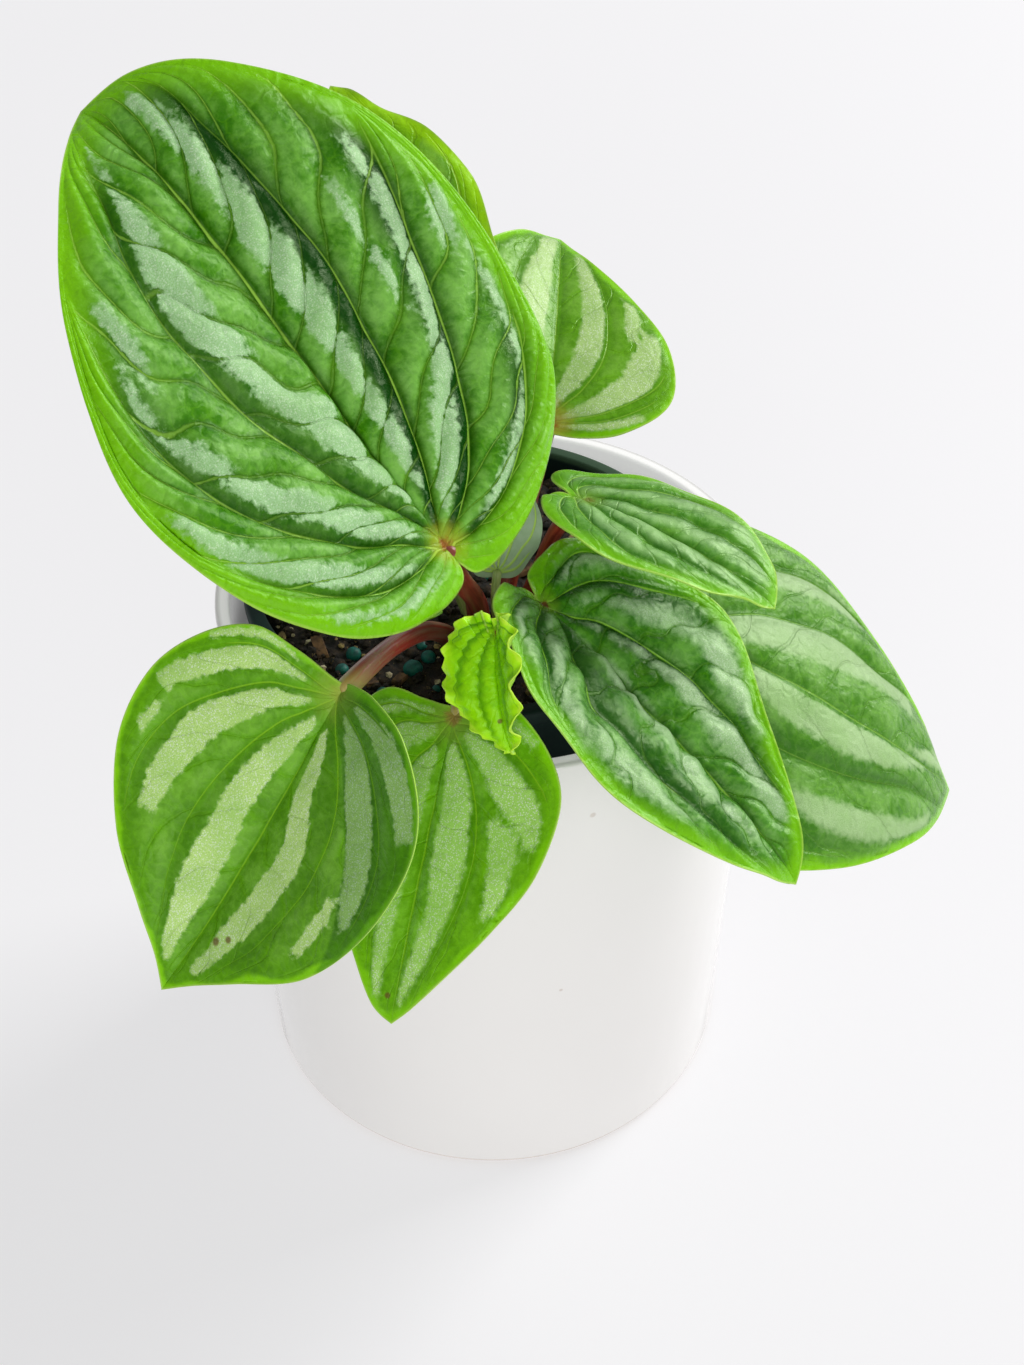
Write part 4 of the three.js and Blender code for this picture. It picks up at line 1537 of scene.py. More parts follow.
    def mark(self, piece: bpy.types.Object, spots: Spots, edge: np.ndarray) -> None:
        """Store what the blade's pattern is drawn from on its points.

        Args:
            piece: The blade's sheet.
            spots: Its places.
            edge: Their distance from the edge.
        """
        lanes, share, within, side = self.lanes, spots.share, spots.within, spots.side
        last = spots.lane == lanes - 1
        near = np.where(last, within, np.minimum(within, 1 - within))
        order = np.where(np.rint(np.abs(side) * lanes) < 1, 1.5, 1.0)
        inner_side = soft_step(within, 0.5, 0.92) * (1 - last)
        outer_side = 0.45 * (1 - soft_step(within, 0.0, 0.22))
        weight = np.where(side >= 0, self.pigment_and_shade_sides[0], self.pigment_and_shade_sides[1])
        ends = soft_step(share, 0.0, 0.12) * (1 - soft_step(share, 0.7, 1.0))
        margin = 1 - soft_step(spots.across, 0.75, 0.95)
        add_measure(piece, "vein", near * spots.width + 3 * soft_step(spots.across, 0.9, 0.97))
        add_measure(piece, "edge", edge)
        add_measure(piece, "joint", np.hypot(spots.x, spots.y))
        add_measure(piece, "taper", np.clip(order * (1.15 - 0.75 * share), 0.25, 2))
        add_measure(piece, "silver", self.depth_in(self.bands, spots))
        # Painted shadow: how far inside the shade zones each place lies.
        add_measure(piece, "shade", self.depth_in(self.shades, spots))
        # Darker green beside the veins, partly painted valley shade, weighted for each half.
        add_measure(piece, "pigment_and_valley_shade", np.maximum(inner_side, outer_side) * weight * ends * margin)

    def map_flat(self, piece: bpy.types.Object, spots: Spots) -> None:
        """Give the blade its flat map and its map of cells.

        Args:
            piece: The blade's sheet.
            spots: Its places.
        """
        corner, face = corners_of(piece)
        share, side, x, y = spots.share[corner], spots.side, spots.x[corner], spots.y[corner]
        add_map(piece, "flat", x / FLAT_UNIT, y / FLAT_UNIT)
        centre = np.bincount(face, np.abs(side)[corner]) / np.bincount(face)
        signs = np.bincount(face, side[corner]) / np.bincount(face)
        lane = np.minimum(np.floor(centre * self.lanes).astype(int), self.lanes - 1)[face]
        inside = np.clip(np.abs(side)[corner] * self.lanes - lane, 0, 1)
        add_map(piece, "cells", self.cell_run(share, signs[face], lane, inside, x, y), inside)

    def blade(self) -> None:
        """Shape the blade, give it its pattern maps and dress it."""
        name = f"leaf_{self.name}"
        piece, share, across = grid_sheet(f"{name}_blade", self.rows, 2 * self.lanes * self.lane_columns)
        spots = self.layout(share, 2 * across - 1)
        points = self.surface(spots.x, spots.y) + self.upward(spots.x, spots.y) * self.relief(spots)[:, None]
        move_points(piece, points * MM)
        edge = self.edge_distance(spots)
        self.mark(piece, spots, edge)
        self.map_flat(piece, spots)

        thick = piece.vertex_groups.new(name="body")
        for index, weight in enumerate(soft_step(edge, 0.0, 3.0)):
            thick.add([index], float(weight), "REPLACE")
        close_seams(piece)
        for material in (self.paint.upper(f"{name}_upper", self.length / self.cells),
                         self.paint.lower(f"{name}_under"), self.paint.edge(f"{name}_rim")):
            piece.data.materials.append(material)
        apply_modifier(
            piece, "SOLIDIFY", thickness=self.thickness * MM, offset=0, vertex_group="body",
            thickness_vertex_group=self.rim_share, use_quality_normals=True, material_offset=1, material_offset_rim=2)
        smooth(piece)
        present(piece, [name])

    def route(self, share: np.ndarray) -> tuple[np.ndarray, np.ndarray]:
        """The stalk's centre line and direction, from the crown to the blade."""
        crown, sunk = Crown(), 1.2
        along, _, up = self.axes()
        angle, away = math.radians(self.foot[0]), self.foot[1]
        foot = np.array([crown.x + away * math.cos(angle), crown.y + away * math.sin(angle), crown.top - sunk])
        end = np.array(self.at) - up * 0.15
        a, b = foot, foot + np.array([*self.lean, self.rise])
        c, d = end - up * self.under - along * self.behind, end
        q = share[:, None]
        line = (1 - q) ** 3 * a + 3 * (1 - q) ** 2 * q * b + 3 * (1 - q) * q ** 2 * c + q ** 3 * d
        run = 3 * (1 - q) ** 2 * (b - a) + 6 * (1 - q) * q * (c - b) + 3 * q ** 2 * (d - c)
        return line, run / np.linalg.norm(run, axis=1)[:, None]

    def stalk_radius(self, q: np.ndarray, angle: np.ndarray) -> np.ndarray:
        """The stalk's radius: wider at both ends, faintly three-sided, closed at its tip.

        Args:
            q: Share of its length.
            angle: Angle round it.

        Returns:
            The radius in millimetres.
        """
        radius = self.stalk * (1 + 0.22 * (1 - q) ** 3 + 0.12 * q ** 6) * (1 - 0.06 * np.cos(3 * angle + 2 * q))
        radius = radius * (1 + 0.03 * ripple(q * 60, angle, 14, self.seed))
        return radius * np.sqrt(1 - 0.93 * np.clip((q - self.tip_share) / (1 - self.tip_share), 0, 1) ** 2)

    def stem(self) -> None:
        """Shape the stalk as a tapered, faintly grooved tube and dress it."""
        rows = self.stalk_steps + 2
        piece, along, across = grid_sheet(f"stalk_{self.name}_stem", rows, self.stalk_sides)
        levels = np.unique(np.round(along, 6))
        inner = np.clip((levels * rows - 1) / self.stalk_steps, 0, 1)
        line, run = self.route(inner)
        aside = np.cross(run[0], (0.0, 0.0, 1.0) if abs(run[0][2]) < 0.9 else (1.0, 0.0, 0.0))
        frames = []
        for direction in run:
            aside = aside - direction * aside.dot(direction)
            aside = aside / np.linalg.norm(aside)
            frames.append((aside, np.cross(direction, aside)))
        index = np.searchsorted(levels, np.round(along, 6))
        first, second = np.array([f[0] for f in frames])[index], np.array([f[1] for f in frames])[index]
        q = inner[index]
        angle = FULL_TURN * across
        radius = np.where((along < 1e-6) | (along > 1 - 1e-6), 0, self.stalk_radius(q, angle))
        points = line[index] + first * (radius * np.cos(angle))[:, None] + second * (radius * np.sin(angle))[:, None]
        move_points(piece, points * MM)
        corner, _ = corners_of(piece)
        add_map(piece, "round", across[corner], q[corner])
        close_seams(piece)
        face_outwards(piece)
        smooth(piece)
        present(piece, [f"stalk_{self.name}"], [self.skin.material()])

    def build(self) -> None:
        """Make the blade and its stalk."""
        self.blade()
        self.stem()


# ----------------------------------------------------------------------- studio


@dataclass(frozen=True)
class Lamp:
    """One soft square lamp: its place, what it points at, its side and its watts."""

    name: str
    at: Point
    aim: Point
    size: float
    power: float

    def place(self) -> None:
        """Hang the lamp."""
        clear_selection()
        bpy.ops.object.light_add(type="AREA", location=tuple(c * MM for c in self.at))
        lamp = bpy.context.object
        lamp.name = self.name
        lamp.data.shape = "SQUARE"
        lamp.data.size = self.size * MM
        lamp.data.energy = self.power
        toward = Vector(self.aim) - Vector(self.at)
        lamp.rotation_euler = toward.to_track_quat("-Z", "Y").to_euler()


@dataclass
class Studio:
    """Pale floor, soft light and the camera."""

    lens: float = 49.19
    sensor: float = 36.0
    camera_at: Point = (4.9, -330.0, 403.5)
    pitch_down: float = 41.73
    nearest: float = 10.0
    floor_size: float = 24000.0
    floor_tone: Colour = paint(150, 149, 151)
    floor_shade: Colour = paint(146, 145, 148)
    floor_light: Colour = (1.0, 0.995, 1.0, 1.0)
    floor_glow: float = 0.58
    sky_colour: Colour = (0.96, 0.97, 1.0, 1.0)
    sky: float = 0.34
    lamps: tuple[Lamp, ...] = (
        Lamp("window_light", at=(2040, 1350, 1840), aim=(0, 0, 120), size=1300, power=70),
        Lamp("sheen_light", at=(1900, 2200, 1000), aim=(0, 0, 200), size=600, power=8),
        Lamp("front_fill", at=(300, -2760, 1200), aim=(0, 0, 100), size=2200, power=44))

    def camera(self) -> None:
        """Place the camera."""
        clear_selection()
        bpy.ops.object.camera_add(
            location=tuple(c * MM for c in self.camera_at), rotation=(math.radians(90 - self.pitch_down), 0, 0))
        camera = bpy.context.object
        camera.name = "studio_camera"
        camera.data.lens = self.lens
        camera.data.sensor_width = self.sensor
        camera.data.clip_start = self.nearest * MM
        bpy.context.scene.camera = camera

    def floor(self) -> None:
        """Lay the floor."""
        clear_selection()
        bpy.ops.mesh.primitive_plane_add(size=self.floor_size * MM)
        floor = name_new("studio_floor")
        bench = Bench("studio_floor")
        cloud = bench.noise(bench.place(), scale=1.5, detail=2)
        tone = bench.mix(cloud * 0.3, self.floor_tone, self.floor_shade)
        skin = bench.coat(tone, 0.6, Emission_Color=self.floor_light, Emission_Strength=self.floor_glow)
        floor.data.materials.append(skin)

    def surroundings(self) -> None:
        """Fill the room with an even pale light, shown without a film look."""
        world = bpy.data.worlds.new("studio_world")
        bpy.context.scene.world = world
        world.use_nodes = True
        background = world.node_tree.nodes["Background"]
        background.inputs[0].default_value = self.sky_colour
        background.inputs[1].default_value = self.sky
        bpy.context.scene.view_settings.view_transform = "Standard"

    def build(self) -> None:
        """Set the studio up."""
        self.camera()
        self.floor()
        for lamp in self.lamps:
            lamp.place()
        self.surroundings()


# ------------------------------------------------------------------------ plant

LEAVES = (
    Leaf(
        "A", at=(-8, -52, 190), heading=144, pitch=39, roll=-9, bend=-20, curl=60, fold=(22, 11), arch=(14, 20),
        twist=-17,
        left=((-4, 0), (-8, 3), (-9, 13), (-6, 27), (6, 40), (24, 47), (45, 47), (70, 35.8), (88.6, 20.5), (100, 8),
              (106, 0)),
        right=((-4, 0), (-8, 2), (-8, 10), (-3, 24), (8, 39), (24, 46), (48, 46), (73, 38.7), (91.6, 24.3),
               (102.6, 11), (106, 0)),
        foot=(135, 2.0), lean=(0, -6), rise=20, under=8, behind=12, stalk=2.1,
        swell=3.5, quilt=1.9, valley=0.24, waves=5, cells=11, slant=2.3, rows=240, lane_columns=16,
        pigment_and_shade_sides=(0.55, 1.35),
        veins=((
            Vein(((12, 42), (25, 38.5), (40, 38), (50, 40), (60, 44.5), (70, 53), (80, 63), (86, 80), (92, 98))),
            Vein(((10, 65), (18, 62), (30, 63.5), (40, 69), (50, 76), (60, 82), (73, 98))),
            Vein(((12, 67), (20, 77.5), (29, 85), (38, 90), (50, 98)))), (
            Vein(((14, 49), (24, 42.5), (33, 35), (45, 31), (60, 32.5), (72, 37), (79, 49), (86, 74), (93, 98))),
            Vein(((12, 64), (22, 67.5), (34, 64), (42, 60.5), (50, 62), (57, 68), (63, 77), (71, 98))),
            Vein(((12, 72), (18, 80), (25, 86), (35, 88.5), (45, 90), (56, 98))))),
        bands=((
            Band(((13, 10, 25), (20, 10, 27.5), (30, 6, 27.5), (36, 8, 29), (42, 16, 29), (50, 20, 33),
                  (58, 22.5, 39), (66, 26, 46), (72, 31, 49), (79, 41, 52.5), (88, 62, 72))),
            Band(((17, 47, 57), (30, 46, 59), (37, 49, 61), (45, 57.5, 67), (52, 63, 71.5), (60, 72, 79),
                  (65, 77, 81))),
            Band(((60, 63, 68), (65, 66, 76), (70, 76, 84))),
            Band(((19, 70, 76), (30, 71, 79), (38, 75.5, 86), (45, 82, 92), (54, 89, 95))),
            Band(((14, 76, 83), (20, 81, 90), (27, 87.5, 95), (37, 93, 97.5)))), (
            Band(((19, 22, 38), (26, 17, 33), (32, 13, 27), (40, 10, 21), (50, 8, 22), (60, 7, 24), (68, 9, 26),
                  (75, 14, 31), (80, 19, 40), (85, 29, 55), (90, 45, 68))),
            Band(((18, 48, 55), (25, 44.5, 59), (32, 42, 57), (40, 45, 55.5), (50, 51, 60), (58, 58, 69),
                  (64, 65, 76), (69, 74, 81))),
            Band(((20, 73, 79), (30, 76, 86), (40, 81, 87), (50, 82, 88), (58, 85, 90))),
            Band(((56, 74, 80), (60, 78, 90), (63, 86, 95))),
            Band(((50, 44, 49), (60, 46, 53), (68, 55, 60))))),
        paint=LeafPaint(
            dark=paint(6, 62, 2), deep=paint(52, 120, 2), mid=paint(104, 174, 12), vein=paint(168, 222, 80),
            silver=paint(170, 208, 158), joint=paint(150, 78, 34), halo=paint(176, 176, 50), broken=0.9, inset=0.9,
            crest=1.4, painted_crease_shade=0.5, painted_sheen=0.18, sparkle=0.5, lime_reach=9.0, minor_edge=0.4, vein_width=0.5,
            lime_gain=0.7, pigment_and_valley_shade=1.0, ragged=4.6, feather=0.7, bump=0.45, joint_reach=2.1)),
    Leaf(
        "B", at=(-10, 2, 206), heading=120, pitch=42, roll=-8, bend=17, curl=8, fold=(10, 15), arch=(14, 12), twist=0,
        left=((-3, 0), (-6, 2), (-9, 6), (-8, 12), (1, 17), (12, 19), (25, 18), (38, 13), (48, 7), (54, 3), (58, 0)),
        right=((-3, 0), (-6, 2), (-9, 6), (-7, 12), (2, 16), (13, 17), (26, 18), (38, 14), (48, 7), (55, 3), (58, 0)),
        foot=(118, 6.6), lean=(-12, 4), rise=30, under=6, behind=6, stalk=1.4,
        swell=0.5, quilt=0.35, ruffle=0.7, waves=6, cells=9, age=Age.FRESH, stalk_kind=StalkKind.PALE, skin=PALE_SKIN,
        paint=LeafPaint(
            dark=paint(84, 150, 4), deep=paint(110, 180, 6), mid=paint(138, 204, 8), lime=paint(164, 226, 14),
            vein=paint(170, 216, 50), joint=paint(150, 170, 60), under=paint(170, 204, 90), silver_gain=0.1,
            lime_reach=4)),
    Leaf(
        "C", at=(12.6, 9, 176), heading=84, pitch=30, roll=8, bend=29, curl=9, fold=(21, 13), arch=(8, 13), twist=9,
        left=((-2, 0), (-5, 2), (-8, 8), (-6, 17), (2, 24), (12, 27), (25, 26), (39.5, 20.5), (50, 12), (55.5, 4.5),
              (59, 0)),
        right=((-2, 0), (-2.4, 2), (-2.8, 8), (-1.6, 16), (4.4, 24.4), (12, 27.2), (24, 24.5), (36, 17), (47, 8),
               (54, 3), (59, 0)),
        foot=(62, 6.6), lean=(4, 4), rise=18, under=10, behind=4, stalk=1.7,
        swell=0.8, quilt=0.15, ruffle=0.3, cells=7,
        veins=((
            Vein(((10, 50), (30, 47), (50, 45), (65, 48), (75, 58), (83, 78), (90, 98))),
            *THREE_VEINS[1:]), (
            Vein(((10, 50), (25, 48), (45, 44), (58, 46), (68, 55), (75, 68), (82, 90), (88, 98))),
            Vein(((10, 73), (20, 75.5), (30, 79), (42, 86), (55, 97))),
            THREE_VEINS[2])),
        bands=((
            Band(((10, 16, 34), (40, 14, 34), (60, 10, 38.5), (72, 13, 41), (80, 18, 50), (87, 25, 75),
                  (93, 40, 90))),
            *PLAIN_BANDS[1:]), (
            Band(((10, 20, 38), (30, 20, 40), (50, 21, 40), (62, 23, 44), (70, 27.5, 52), (76, 35, 63), (81, 50, 85),
                  (86, 72, 97))),
            Band(((12, 60, 70), (25, 58, 74), (40, 60, 81), (52, 66, 87), (59, 80, 91))),
            Band(((54, 58, 66), (60, 62, 76), (67, 76, 88))),
            Band(((12, 76, 82), (25, 82, 91), (36, 91, 98))))),
        paint=LeafPaint(
            dark=paint(50, 108, 10), deep=paint(84, 144, 14), mid=paint(108, 172, 26), silver=paint(186, 214, 140),
            vein=paint(130, 180, 50), lime_reach=2, pigment_and_valley_shade=0.5, ragged=2.4, feather=0.6, crest=0.2, painted_crease_shade=0.02,
            bump=0.18, sparkle=0.8, vein_width=0.32)),
    Leaf(
        "D", at=(20, -29, 183), heading=-25, pitch=-6, roll=-10, bend=18, curl=9, fold=(12, 10), arch=(21, 14),
        twist=10,
        left=((-4, 0), (-7, 2), (-10, 5), (-7, 9), (1, 13), (10, 16.4), (20, 16.9), (30, 14.6), (37, 9), (41, 4),
              (43, 0)),
        right=((-4, 0), (-7, 1), (-8, 4), (-6, 10), (1, 15), (8, 17), (18, 15), (28, 11), (35, 6), (40, 3), (43, 0)),
        foot=(18, 6.6), lean=(8, 7), rise=16, under=8, behind=8, stalk=1.6,
        swell=1.7, quilt=0.3, valley=0.25, waves=5, cells=8, slant=1.8,
        bands=((
            Band(((8, 12, 30), (40, 10, 30), (70, 14, 40), (85, 30, 60))),
            Band(((10, 50, 62), (35, 46, 62), (60, 55, 75), (75, 70, 90))),
            Band(((12, 72, 80), (40, 76, 88), (55, 88, 95)))), (
            Band(((6, 5, 32), (40, 4, 30), (70, 6, 36), (85, 20, 50))),
            Band(((8, 46, 62), (35, 44, 62), (60, 55, 72))))),
        paint=LeafPaint(
            dark=paint(30, 94, 14), deep=paint(62, 128, 22), mid=paint(100, 166, 46), vein=paint(156, 208, 90),
            joint=paint(120, 130, 50), halo=paint(120, 160, 50), lime_reach=4, lime_gain=0.6, pigment_and_valley_shade=0.6,
            feather=1.8, inset=0.6, silver_gain=0.6, ragged=1.5, joint_reach=1.6, crest=0.3, painted_crease_shade=0.15, painted_sheen=0.2,
            bump=0.22, shine=0.35)),
    Leaf(
        "E", at=(11, -44.5, 169), heading=-37, pitch=-27, roll=-17, bend=3, curl=14, fold=(19, 16), arch=(1, 27),
        twist=13,
        left=((-2, 0), (-6.6, 3), (-8, 9), (-7, 18.6), (5, 25), (19, 30), (32, 28), (47, 18), (61, 11), (70, 5),
              (74, 0)),
        right=((-2, 0), (-6, 1), (-8, 7), (-5, 16), (5, 22.4), (17, 26.4), (32, 27.4), (48, 23), (61.6, 13.2),
               (69.6, 6), (74, 0)),
        foot=(-66, 6.6), lean=(1, -6), rise=12, under=10, behind=6, stalk=1.8,
        swell=2.7, quilt=1.7, valley=0.3, ruffle=0.5, waves=6, cells=7, slant=1.3, rows=180, lane_columns=14,
        veins=((
            Vein(((12, 40), (30, 42), (50, 42.5), (58, 43.5), (66, 53), (74, 67.5), (80, 85), (85, 98))),
            Vein(((12, 58), (20, 65), (28, 69.5), (36, 78), (45, 88.5), (56, 98))),
            Vein(((10, 75), (20, 83), (30, 92), (40, 98)))), (
            Vein(((10, 36), (28, 42), (38, 50), (46, 58.5), (52, 55), (62, 53.5), (70, 56), (77, 64), (85, 82),
                  (92, 98))),
            Vein(((10, 62), (25, 68), (38, 78), (48, 92), (56, 98))),
            Vein(((10, 78), (25, 88), (40, 98))))),
        bands=((
            Band(((12, 0, 12), (30, 0, 11), (45, 0, 4))),
            Band(((19, 30, 38), (35, 27, 39), (45, 23, 40.5), (53, 18, 41), (60, 16, 44), (68, 25, 55), (76, 22, 78),
                  (84, 30, 95))),
            Band(((20, 47, 53), (30, 49, 59), (40, 52.5, 70), (50, 58, 82), (58, 50, 82), (66, 60, 90),
                  (71, 75, 95))),
            Band(((15, 66, 73), (25, 72, 85), (33, 78, 94), (43, 92, 99)))), (
            Band(((13, 0, 12), (30, 0, 27), (42, 0, 25), (55, 4, 30), (65, 7, 36), (75, 12, 40), (88, 14, 52))),
            Band(((17, 48, 56), (30, 52, 65), (40, 60, 77), (50, 74, 91), (57, 88, 95))),
            Band(((50, 62, 70), (56, 62, 88), (64, 62, 86), (72, 64, 78))),
            Band(((18, 72, 83), (30, 76, 91), (42, 86, 98))))),
        paint=LeafPaint(
            dark=paint(12, 68, 6), deep=paint(40, 108, 6), mid=paint(82, 154, 12), vein=paint(140, 200, 56),
            silver=paint(190, 220, 172), joint=paint(96, 16, 16), halo=paint(110, 140, 40), lime_reach=5,
            lime_gain=0.68, pigment_and_valley_shade=0.8, feather=2.0, inset=1.9, broken=0.5, ragged=4.4, silver_gain=0.85,
            joint_reach=1.5, crest=2.0, painted_crease_shade=0.32, painted_sheen=0.1, sparkle=0.6, shine=0.4)),
    Leaf(
        "F", at=(33, -35.5, 160.5), heading=-18, pitch=-18, roll=36, bend=40, curl=19, fold=(-22, 10), arch=(18, 13),
        twist=-7,
        left=((-3, 0), (-8, 3), (-13, 12), (-11, 23), (2, 33), (19, 37), (38, 35.8), (57, 26.2), (72, 14), (82, 5),
              (89, 0)),
        right=((-3, 0), (-8, 3), (-13, 12), (-11, 24), (2, 35), (19, 39), (38.4, 39), (58.6, 30.2), (74.6, 17.7),
               (84.2, 8.3), (89, 0)),
        foot=(-25, 6.6), lean=(4, -2), rise=10, under=10, behind=8, stalk=1.8,
        swell=1.7, quilt=0.6, ruffle=0.3, cells=7, rows=150,
        veins=((
            Vein(((15, 30), (30, 33), (42, 40), (55, 47), (64, 53), (72, 66), (77, 85), (82, 98))),
            *THREE_VEINS[1:]), (
            Vein(((10, 50), (30, 42), (50, 37), (65, 33), (78, 36), (88, 62), (94, 98))),
            *THREE_VEINS[1:])),
        bands=((
            Band(((22, 12, 30), (42, 17, 39), (55, 23, 46), (64, 30, 52), (71, 40, 64), (78, 55, 90))),
            Band(((30, 50, 60), (50, 60, 74), (65, 76, 92))),
            Band(((72, 0, 4), (80, 0, 20), (86, 10, 60), (91, 40, 95)))), (
            Band(((30, 4, 16), (50, 3, 22), (70, 2, 19), (78, 0, 13), (85, 0, 5))),
            Band(((57, 50, 58), (66, 52, 72), (72, 56, 80), (78, 68, 88), (84, 66, 85))),
            Band(((20, 50, 62), (40, 48, 66), (52, 60, 76))))),
        paint=LeafPaint(
            dark=paint(40, 96, 24), deep=paint(66, 126, 26), mid=paint(104, 164, 52), silver=paint(184, 212, 158),
            vein=paint(120, 172, 60), lime_reach=3, pigment_and_valley_shade=0.6, feather=1.1, ragged=3.0, silver_gain=0.85, inset=0.3,
            painted_crease_shade=0.15, painted_sheen=0.12, vein_width=0.35)),
    Leaf(
        "G", at=(2, -68, 182), heading=-90, pitch=-37, roll=33, bend=24, curl=14, fold=(36, 23), arch=(2, 4), twist=0,
        left=((-2, 0), (-3, 1), (-3, 3), (-2, 5), (1, 7), (5, 9), (10, 8), (15, 6), (19, 4), (22, 1.5), (23, 0)),
        right=((-2, 0), (-3, 1), (-4, 3), (-3, 6), (0, 9), (5, 10), (10, 10), (15, 7), (19, 4), (22, 1), (23, 0)),
        foot=(-100, 2.6), lean=(-4, -18), rise=26, under=2, behind=2, stalk=0.9,
        swell=1.1, quilt=0.05, ruffle=1.3, waves=7, teeth=1.0, cells=8, thickness=0.7, age=Age.FRESH,
        stalk_kind=StalkKind.PALE, skin=PALE_SKIN,
        paint=LeafPaint(
            dark=paint(70, 144, 2), deep=paint(122, 202, 2), mid=paint(150, 222, 4), lime=paint(174, 236, 22),
            vein=paint(96, 168, 8), joint=paint(120, 60, 30), halo=paint(150, 200, 30), rim=paint(196, 236, 60),
            under=paint(166, 206, 60), silver_gain=0.0, painted_sheen=0.0, lime_reach=3, joint_reach=0.7, pigment_and_valley_shade=0.7,
            minor_tint=0.0, painted_crease_shade=0.0, bump=0.1, vein_width=0.3, cell_size=1.6, scars=((16.2, -0.7, 0.6),))),
    Leaf(
        "H", at=(-26, -79, 177), heading=-146, pitch=-55, roll=-10, bend=-5, curl=-10, fold=(12, 31), arch=(8, 4),
        twist=-8,
        left=((-2, 0), (-3, 2), (-4, 8), (-3, 19), (4, 28), (15, 33), (30, 32), (46, 25), (57, 13), (64, 5), (69, 0)),
        right=((-2, 0), (-2, 3), (-3, 11), (-3, 20), (4, 28), (15, 33), (30, 32), (46, 24), (57, 13), (64, 5),
               (69, 0)),
        foot=(-156, 6.6), lean=(-6, -6), rise=12, under=6, behind=14, stalk=1.9,
        swell=0.7, quilt=0.12, cells=7, rows=140,
        veins=((
            Vein(((10, 52), (30, 46), (40, 47.5), (57, 49), (70, 53), (80, 70), (90, 98))),
            Vein(((10, 66), (20, 70), (30, 71.5), (40, 76), (50, 84), (60, 92), (68, 98))),
            Vein(((10, 78), (20, 90), (35, 98)))), (
            Vein(((10, 55), (17, 46), (25, 42), (40, 39), (52, 40), (62, 44), (70, 50), (78, 61), (85, 80),
                  (91, 98))),
            Vein(((10, 72), (20, 68), (30, 67.5), (40, 71), (50, 78), (60, 86), (72, 98))),
            Vein(((12, 82), (20, 88), (32, 92.5), (46, 98))))),
        bands=((
            Band(((17, 20, 34), (27, 15, 31), (36, 12.5, 27.5), (50, 20, 36), (60, 18.5, 37), (70, 19, 40),
                  (76, 21, 46), (82, 33, 58), (88, 42, 72))),
            Band(((18, 60, 66), (27, 53.5, 69), (38, 53, 70), (47, 60, 75.5), (56, 72, 84), (61, 83, 89))),
            Band(((57, 65, 70), (62, 67, 76), (68, 74, 80))),
            Band(((18, 76, 83), (27, 77, 93), (36, 82, 96), (46, 89, 98)))), (
            Band(((15, 20, 32), (30, 16, 32), (45, 14, 31), (58, 10.5, 30), (68, 12, 37), (76, 18, 46), (83, 30, 59),
                  (90, 50, 75))),
            Band(((17, 51, 57), (25, 49, 59), (35, 50, 63), (45, 52.5, 69), (55, 56, 72), (64, 65, 78))),
            Band(((18, 73, 80), (28, 73.5, 86.5), (38, 78, 90), (49, 86, 95))),
            Band(((20, 91, 96), (30, 93.5, 98.5), (38, 95.5, 99))),
            Band(((51, 83, 87), (56, 86, 92))))),
        paint=LeafPaint(
            dark=paint(40, 92, 14), deep=paint(76, 138, 2), mid=paint(98, 168, 2), silver=paint(198, 230, 140),
            joint=paint(150, 170, 60), halo=paint(150, 180, 60), vein=paint(124, 182, 24),
            scars=((53.7, 4.6, 1.1), (51.5, 6.8, 0.9)), lime_reach=1.5, pigment_and_valley_shade=0.35, ragged=2.4, feather=0.4,
            crest=0.2, painted_crease_shade=0.02, bump=0.18, sparkle=0.9, vein_width=0.32),
        shades=((
            Band(((1, 50, 120), (20, 48, 120), (35, 50, 120), (48, 60, 120), (58, 74, 120), (68, 98, 120))),), ()),
        skin=PINK_SKIN),
    Leaf(
        "I", at=(-6, -67, 160), heading=-108, pitch=-43, roll=14, bend=6, curl=0, fold=(10, 3), arch=(12, 13),
        twist=0,
        left=((-2, 0), (-3, 2), (-5, 7), (-3, 15), (4, 23), (13, 27), (26, 25), (38, 18), (49, 10), (56, 4), (60, 0)),
        right=((-2, 0), (-2, 3), (-2.4, 8), (-3, 16), (3, 23), (13, 27), (25, 25), (38.6, 18), (50, 10.2), (57.4, 5),
               (60, 0)),
        foot=(-110, 6.6), lean=(-1, -10), rise=7, under=6, behind=14, stalk=1.8,
        swell=0.8, quilt=0.15, cells=7, rows=130,
        veins=((
            Vein(((10, 45), (30, 43), (50, 43), (65, 47), (75, 55), (85, 72), (93, 98))),
            Vein(((10, 62), (20, 69), (30, 78), (40, 87), (50, 95), (58, 98))),
            Vein(((10, 78), (20, 88), (32, 98)))), (
            Vein(((10, 50), (20, 44), (40, 42), (60, 44), (72, 52), (80, 68), (88, 98))),
            Vein(((10, 70), (20, 73), (35, 75), (50, 82), (66, 98))),
            Vein(((10, 80), (25, 88), (42, 98))))),
        bands=((
            Band(((15, 14, 34), (30, 15, 39), (50, 9, 36), (60, 15, 38.5), (70, 17, 42), (82, 15, 50), (92, 22, 48))),
            Band(((20, 50, 57), (30, 52, 67), (40, 56, 77), (47, 65, 85), (55, 82, 91))),
            Band(((46, 50, 57), (52, 54, 72), (60, 62, 80), (67, 78, 88))),
            Band(((24, 82, 90), (36, 91, 98)))), (
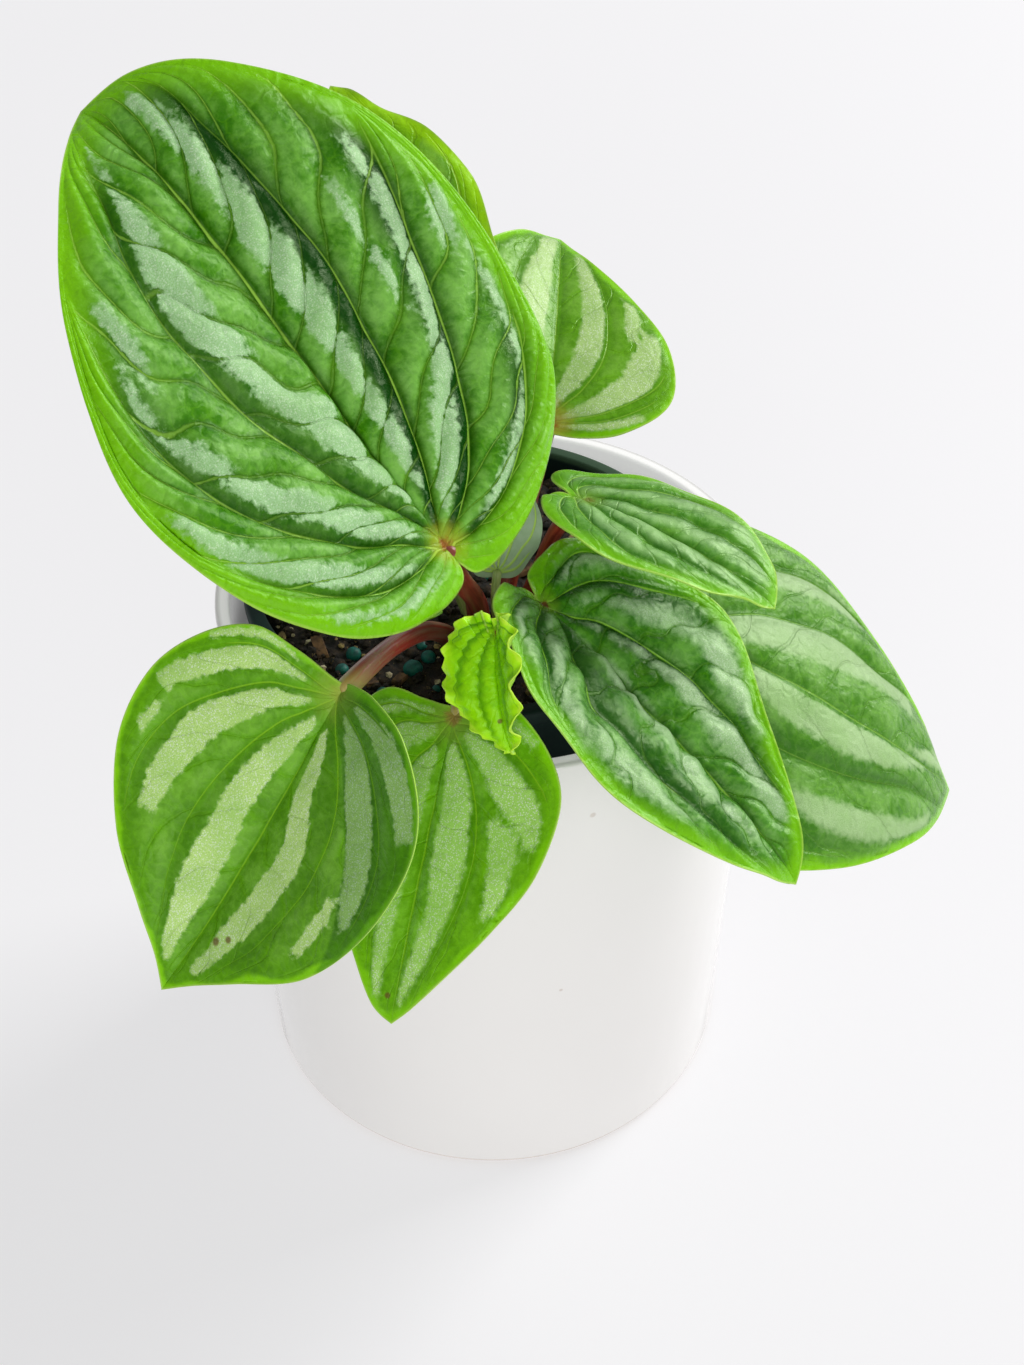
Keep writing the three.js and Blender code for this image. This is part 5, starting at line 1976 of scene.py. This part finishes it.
            Band(((18, 22, 38), (30, 12, 37), (45, 10, 33), (60, 12, 33), (72, 20, 42), (80, 35, 62), (88, 58, 85))),
            Band(((15, 52, 64), (25, 50, 70), (40, 52, 70), (55, 60, 76), (64, 72, 82))),
            Band(((15, 78, 88), (30, 80, 90), (43, 87, 95))))),
        paint=LeafPaint(
            dark=paint(50, 106, 10), deep=paint(88, 154, 6), mid=paint(118, 190, 10), silver=paint(180, 228, 116),
            joint=paint(150, 120, 60), halo=paint(140, 170, 60), vein=paint(132, 190, 24), scars=((54.8, -1.7, 0.8),),
            lime_reach=2, pigment_and_valley_shade=0.4, ragged=2.6, feather=0.8, crest=0.2, painted_crease_shade=0.02, bump=0.18, sparkle=0.9,
            vein_width=0.32),
        skin=PINK_SKIN),
    Leaf(
        "J", at=(2, -30, 167), heading=70, pitch=72, roll=194, bend=21, curl=10, fold=(30, 20), arch=(14, 14),
        twist=0,
        left=((-2, 0), (-2, 1), (-2, 3), (-1, 5), (2, 7), (5, 8.5), (10, 8.5), (15, 6.5), (19, 4), (22, 1.5),
              (24, 0)),
        right=((-2, 0), (-2, 1), (-2.5, 3), (-2, 5), (1, 6.5), (5, 7), (10, 7), (15, 5.5), (19, 3.5), (22, 1),
               (24, 0)),
        foot=(10, 2.8), lean=(0, -8), rise=12, under=4, behind=7, stalk=0.9,
        swell=0.2, quilt=0.1, ruffle=0.2, waves=3, cells=6, rows=70, thickness=0.7, age=Age.PALE,
        stalk_kind=StalkKind.PALE, skin=PALE_SKIN,
        paint=LeafPaint(
            dark=paint(70, 110, 60), deep=paint(96, 140, 80), mid=paint(120, 160, 96), under=paint(160, 186, 150),
            joint=paint(150, 170, 110), silver_gain=0.5, vein_width=0.3)),
)


def main() -> None:
    """Build the plant, its pots and the studio."""
    logging.basicConfig(level=logging.INFO, format="%(name)s %(message)s")
    Studio().build()
    Cachepot().build()
    GrowPot().build()
    SoilBed().build()
    Crown().build()
    Sprout().build()
    for leaf in LEAVES:
        leaf.build()
    clear_selection()


if __name__ == "__main__":
    main()
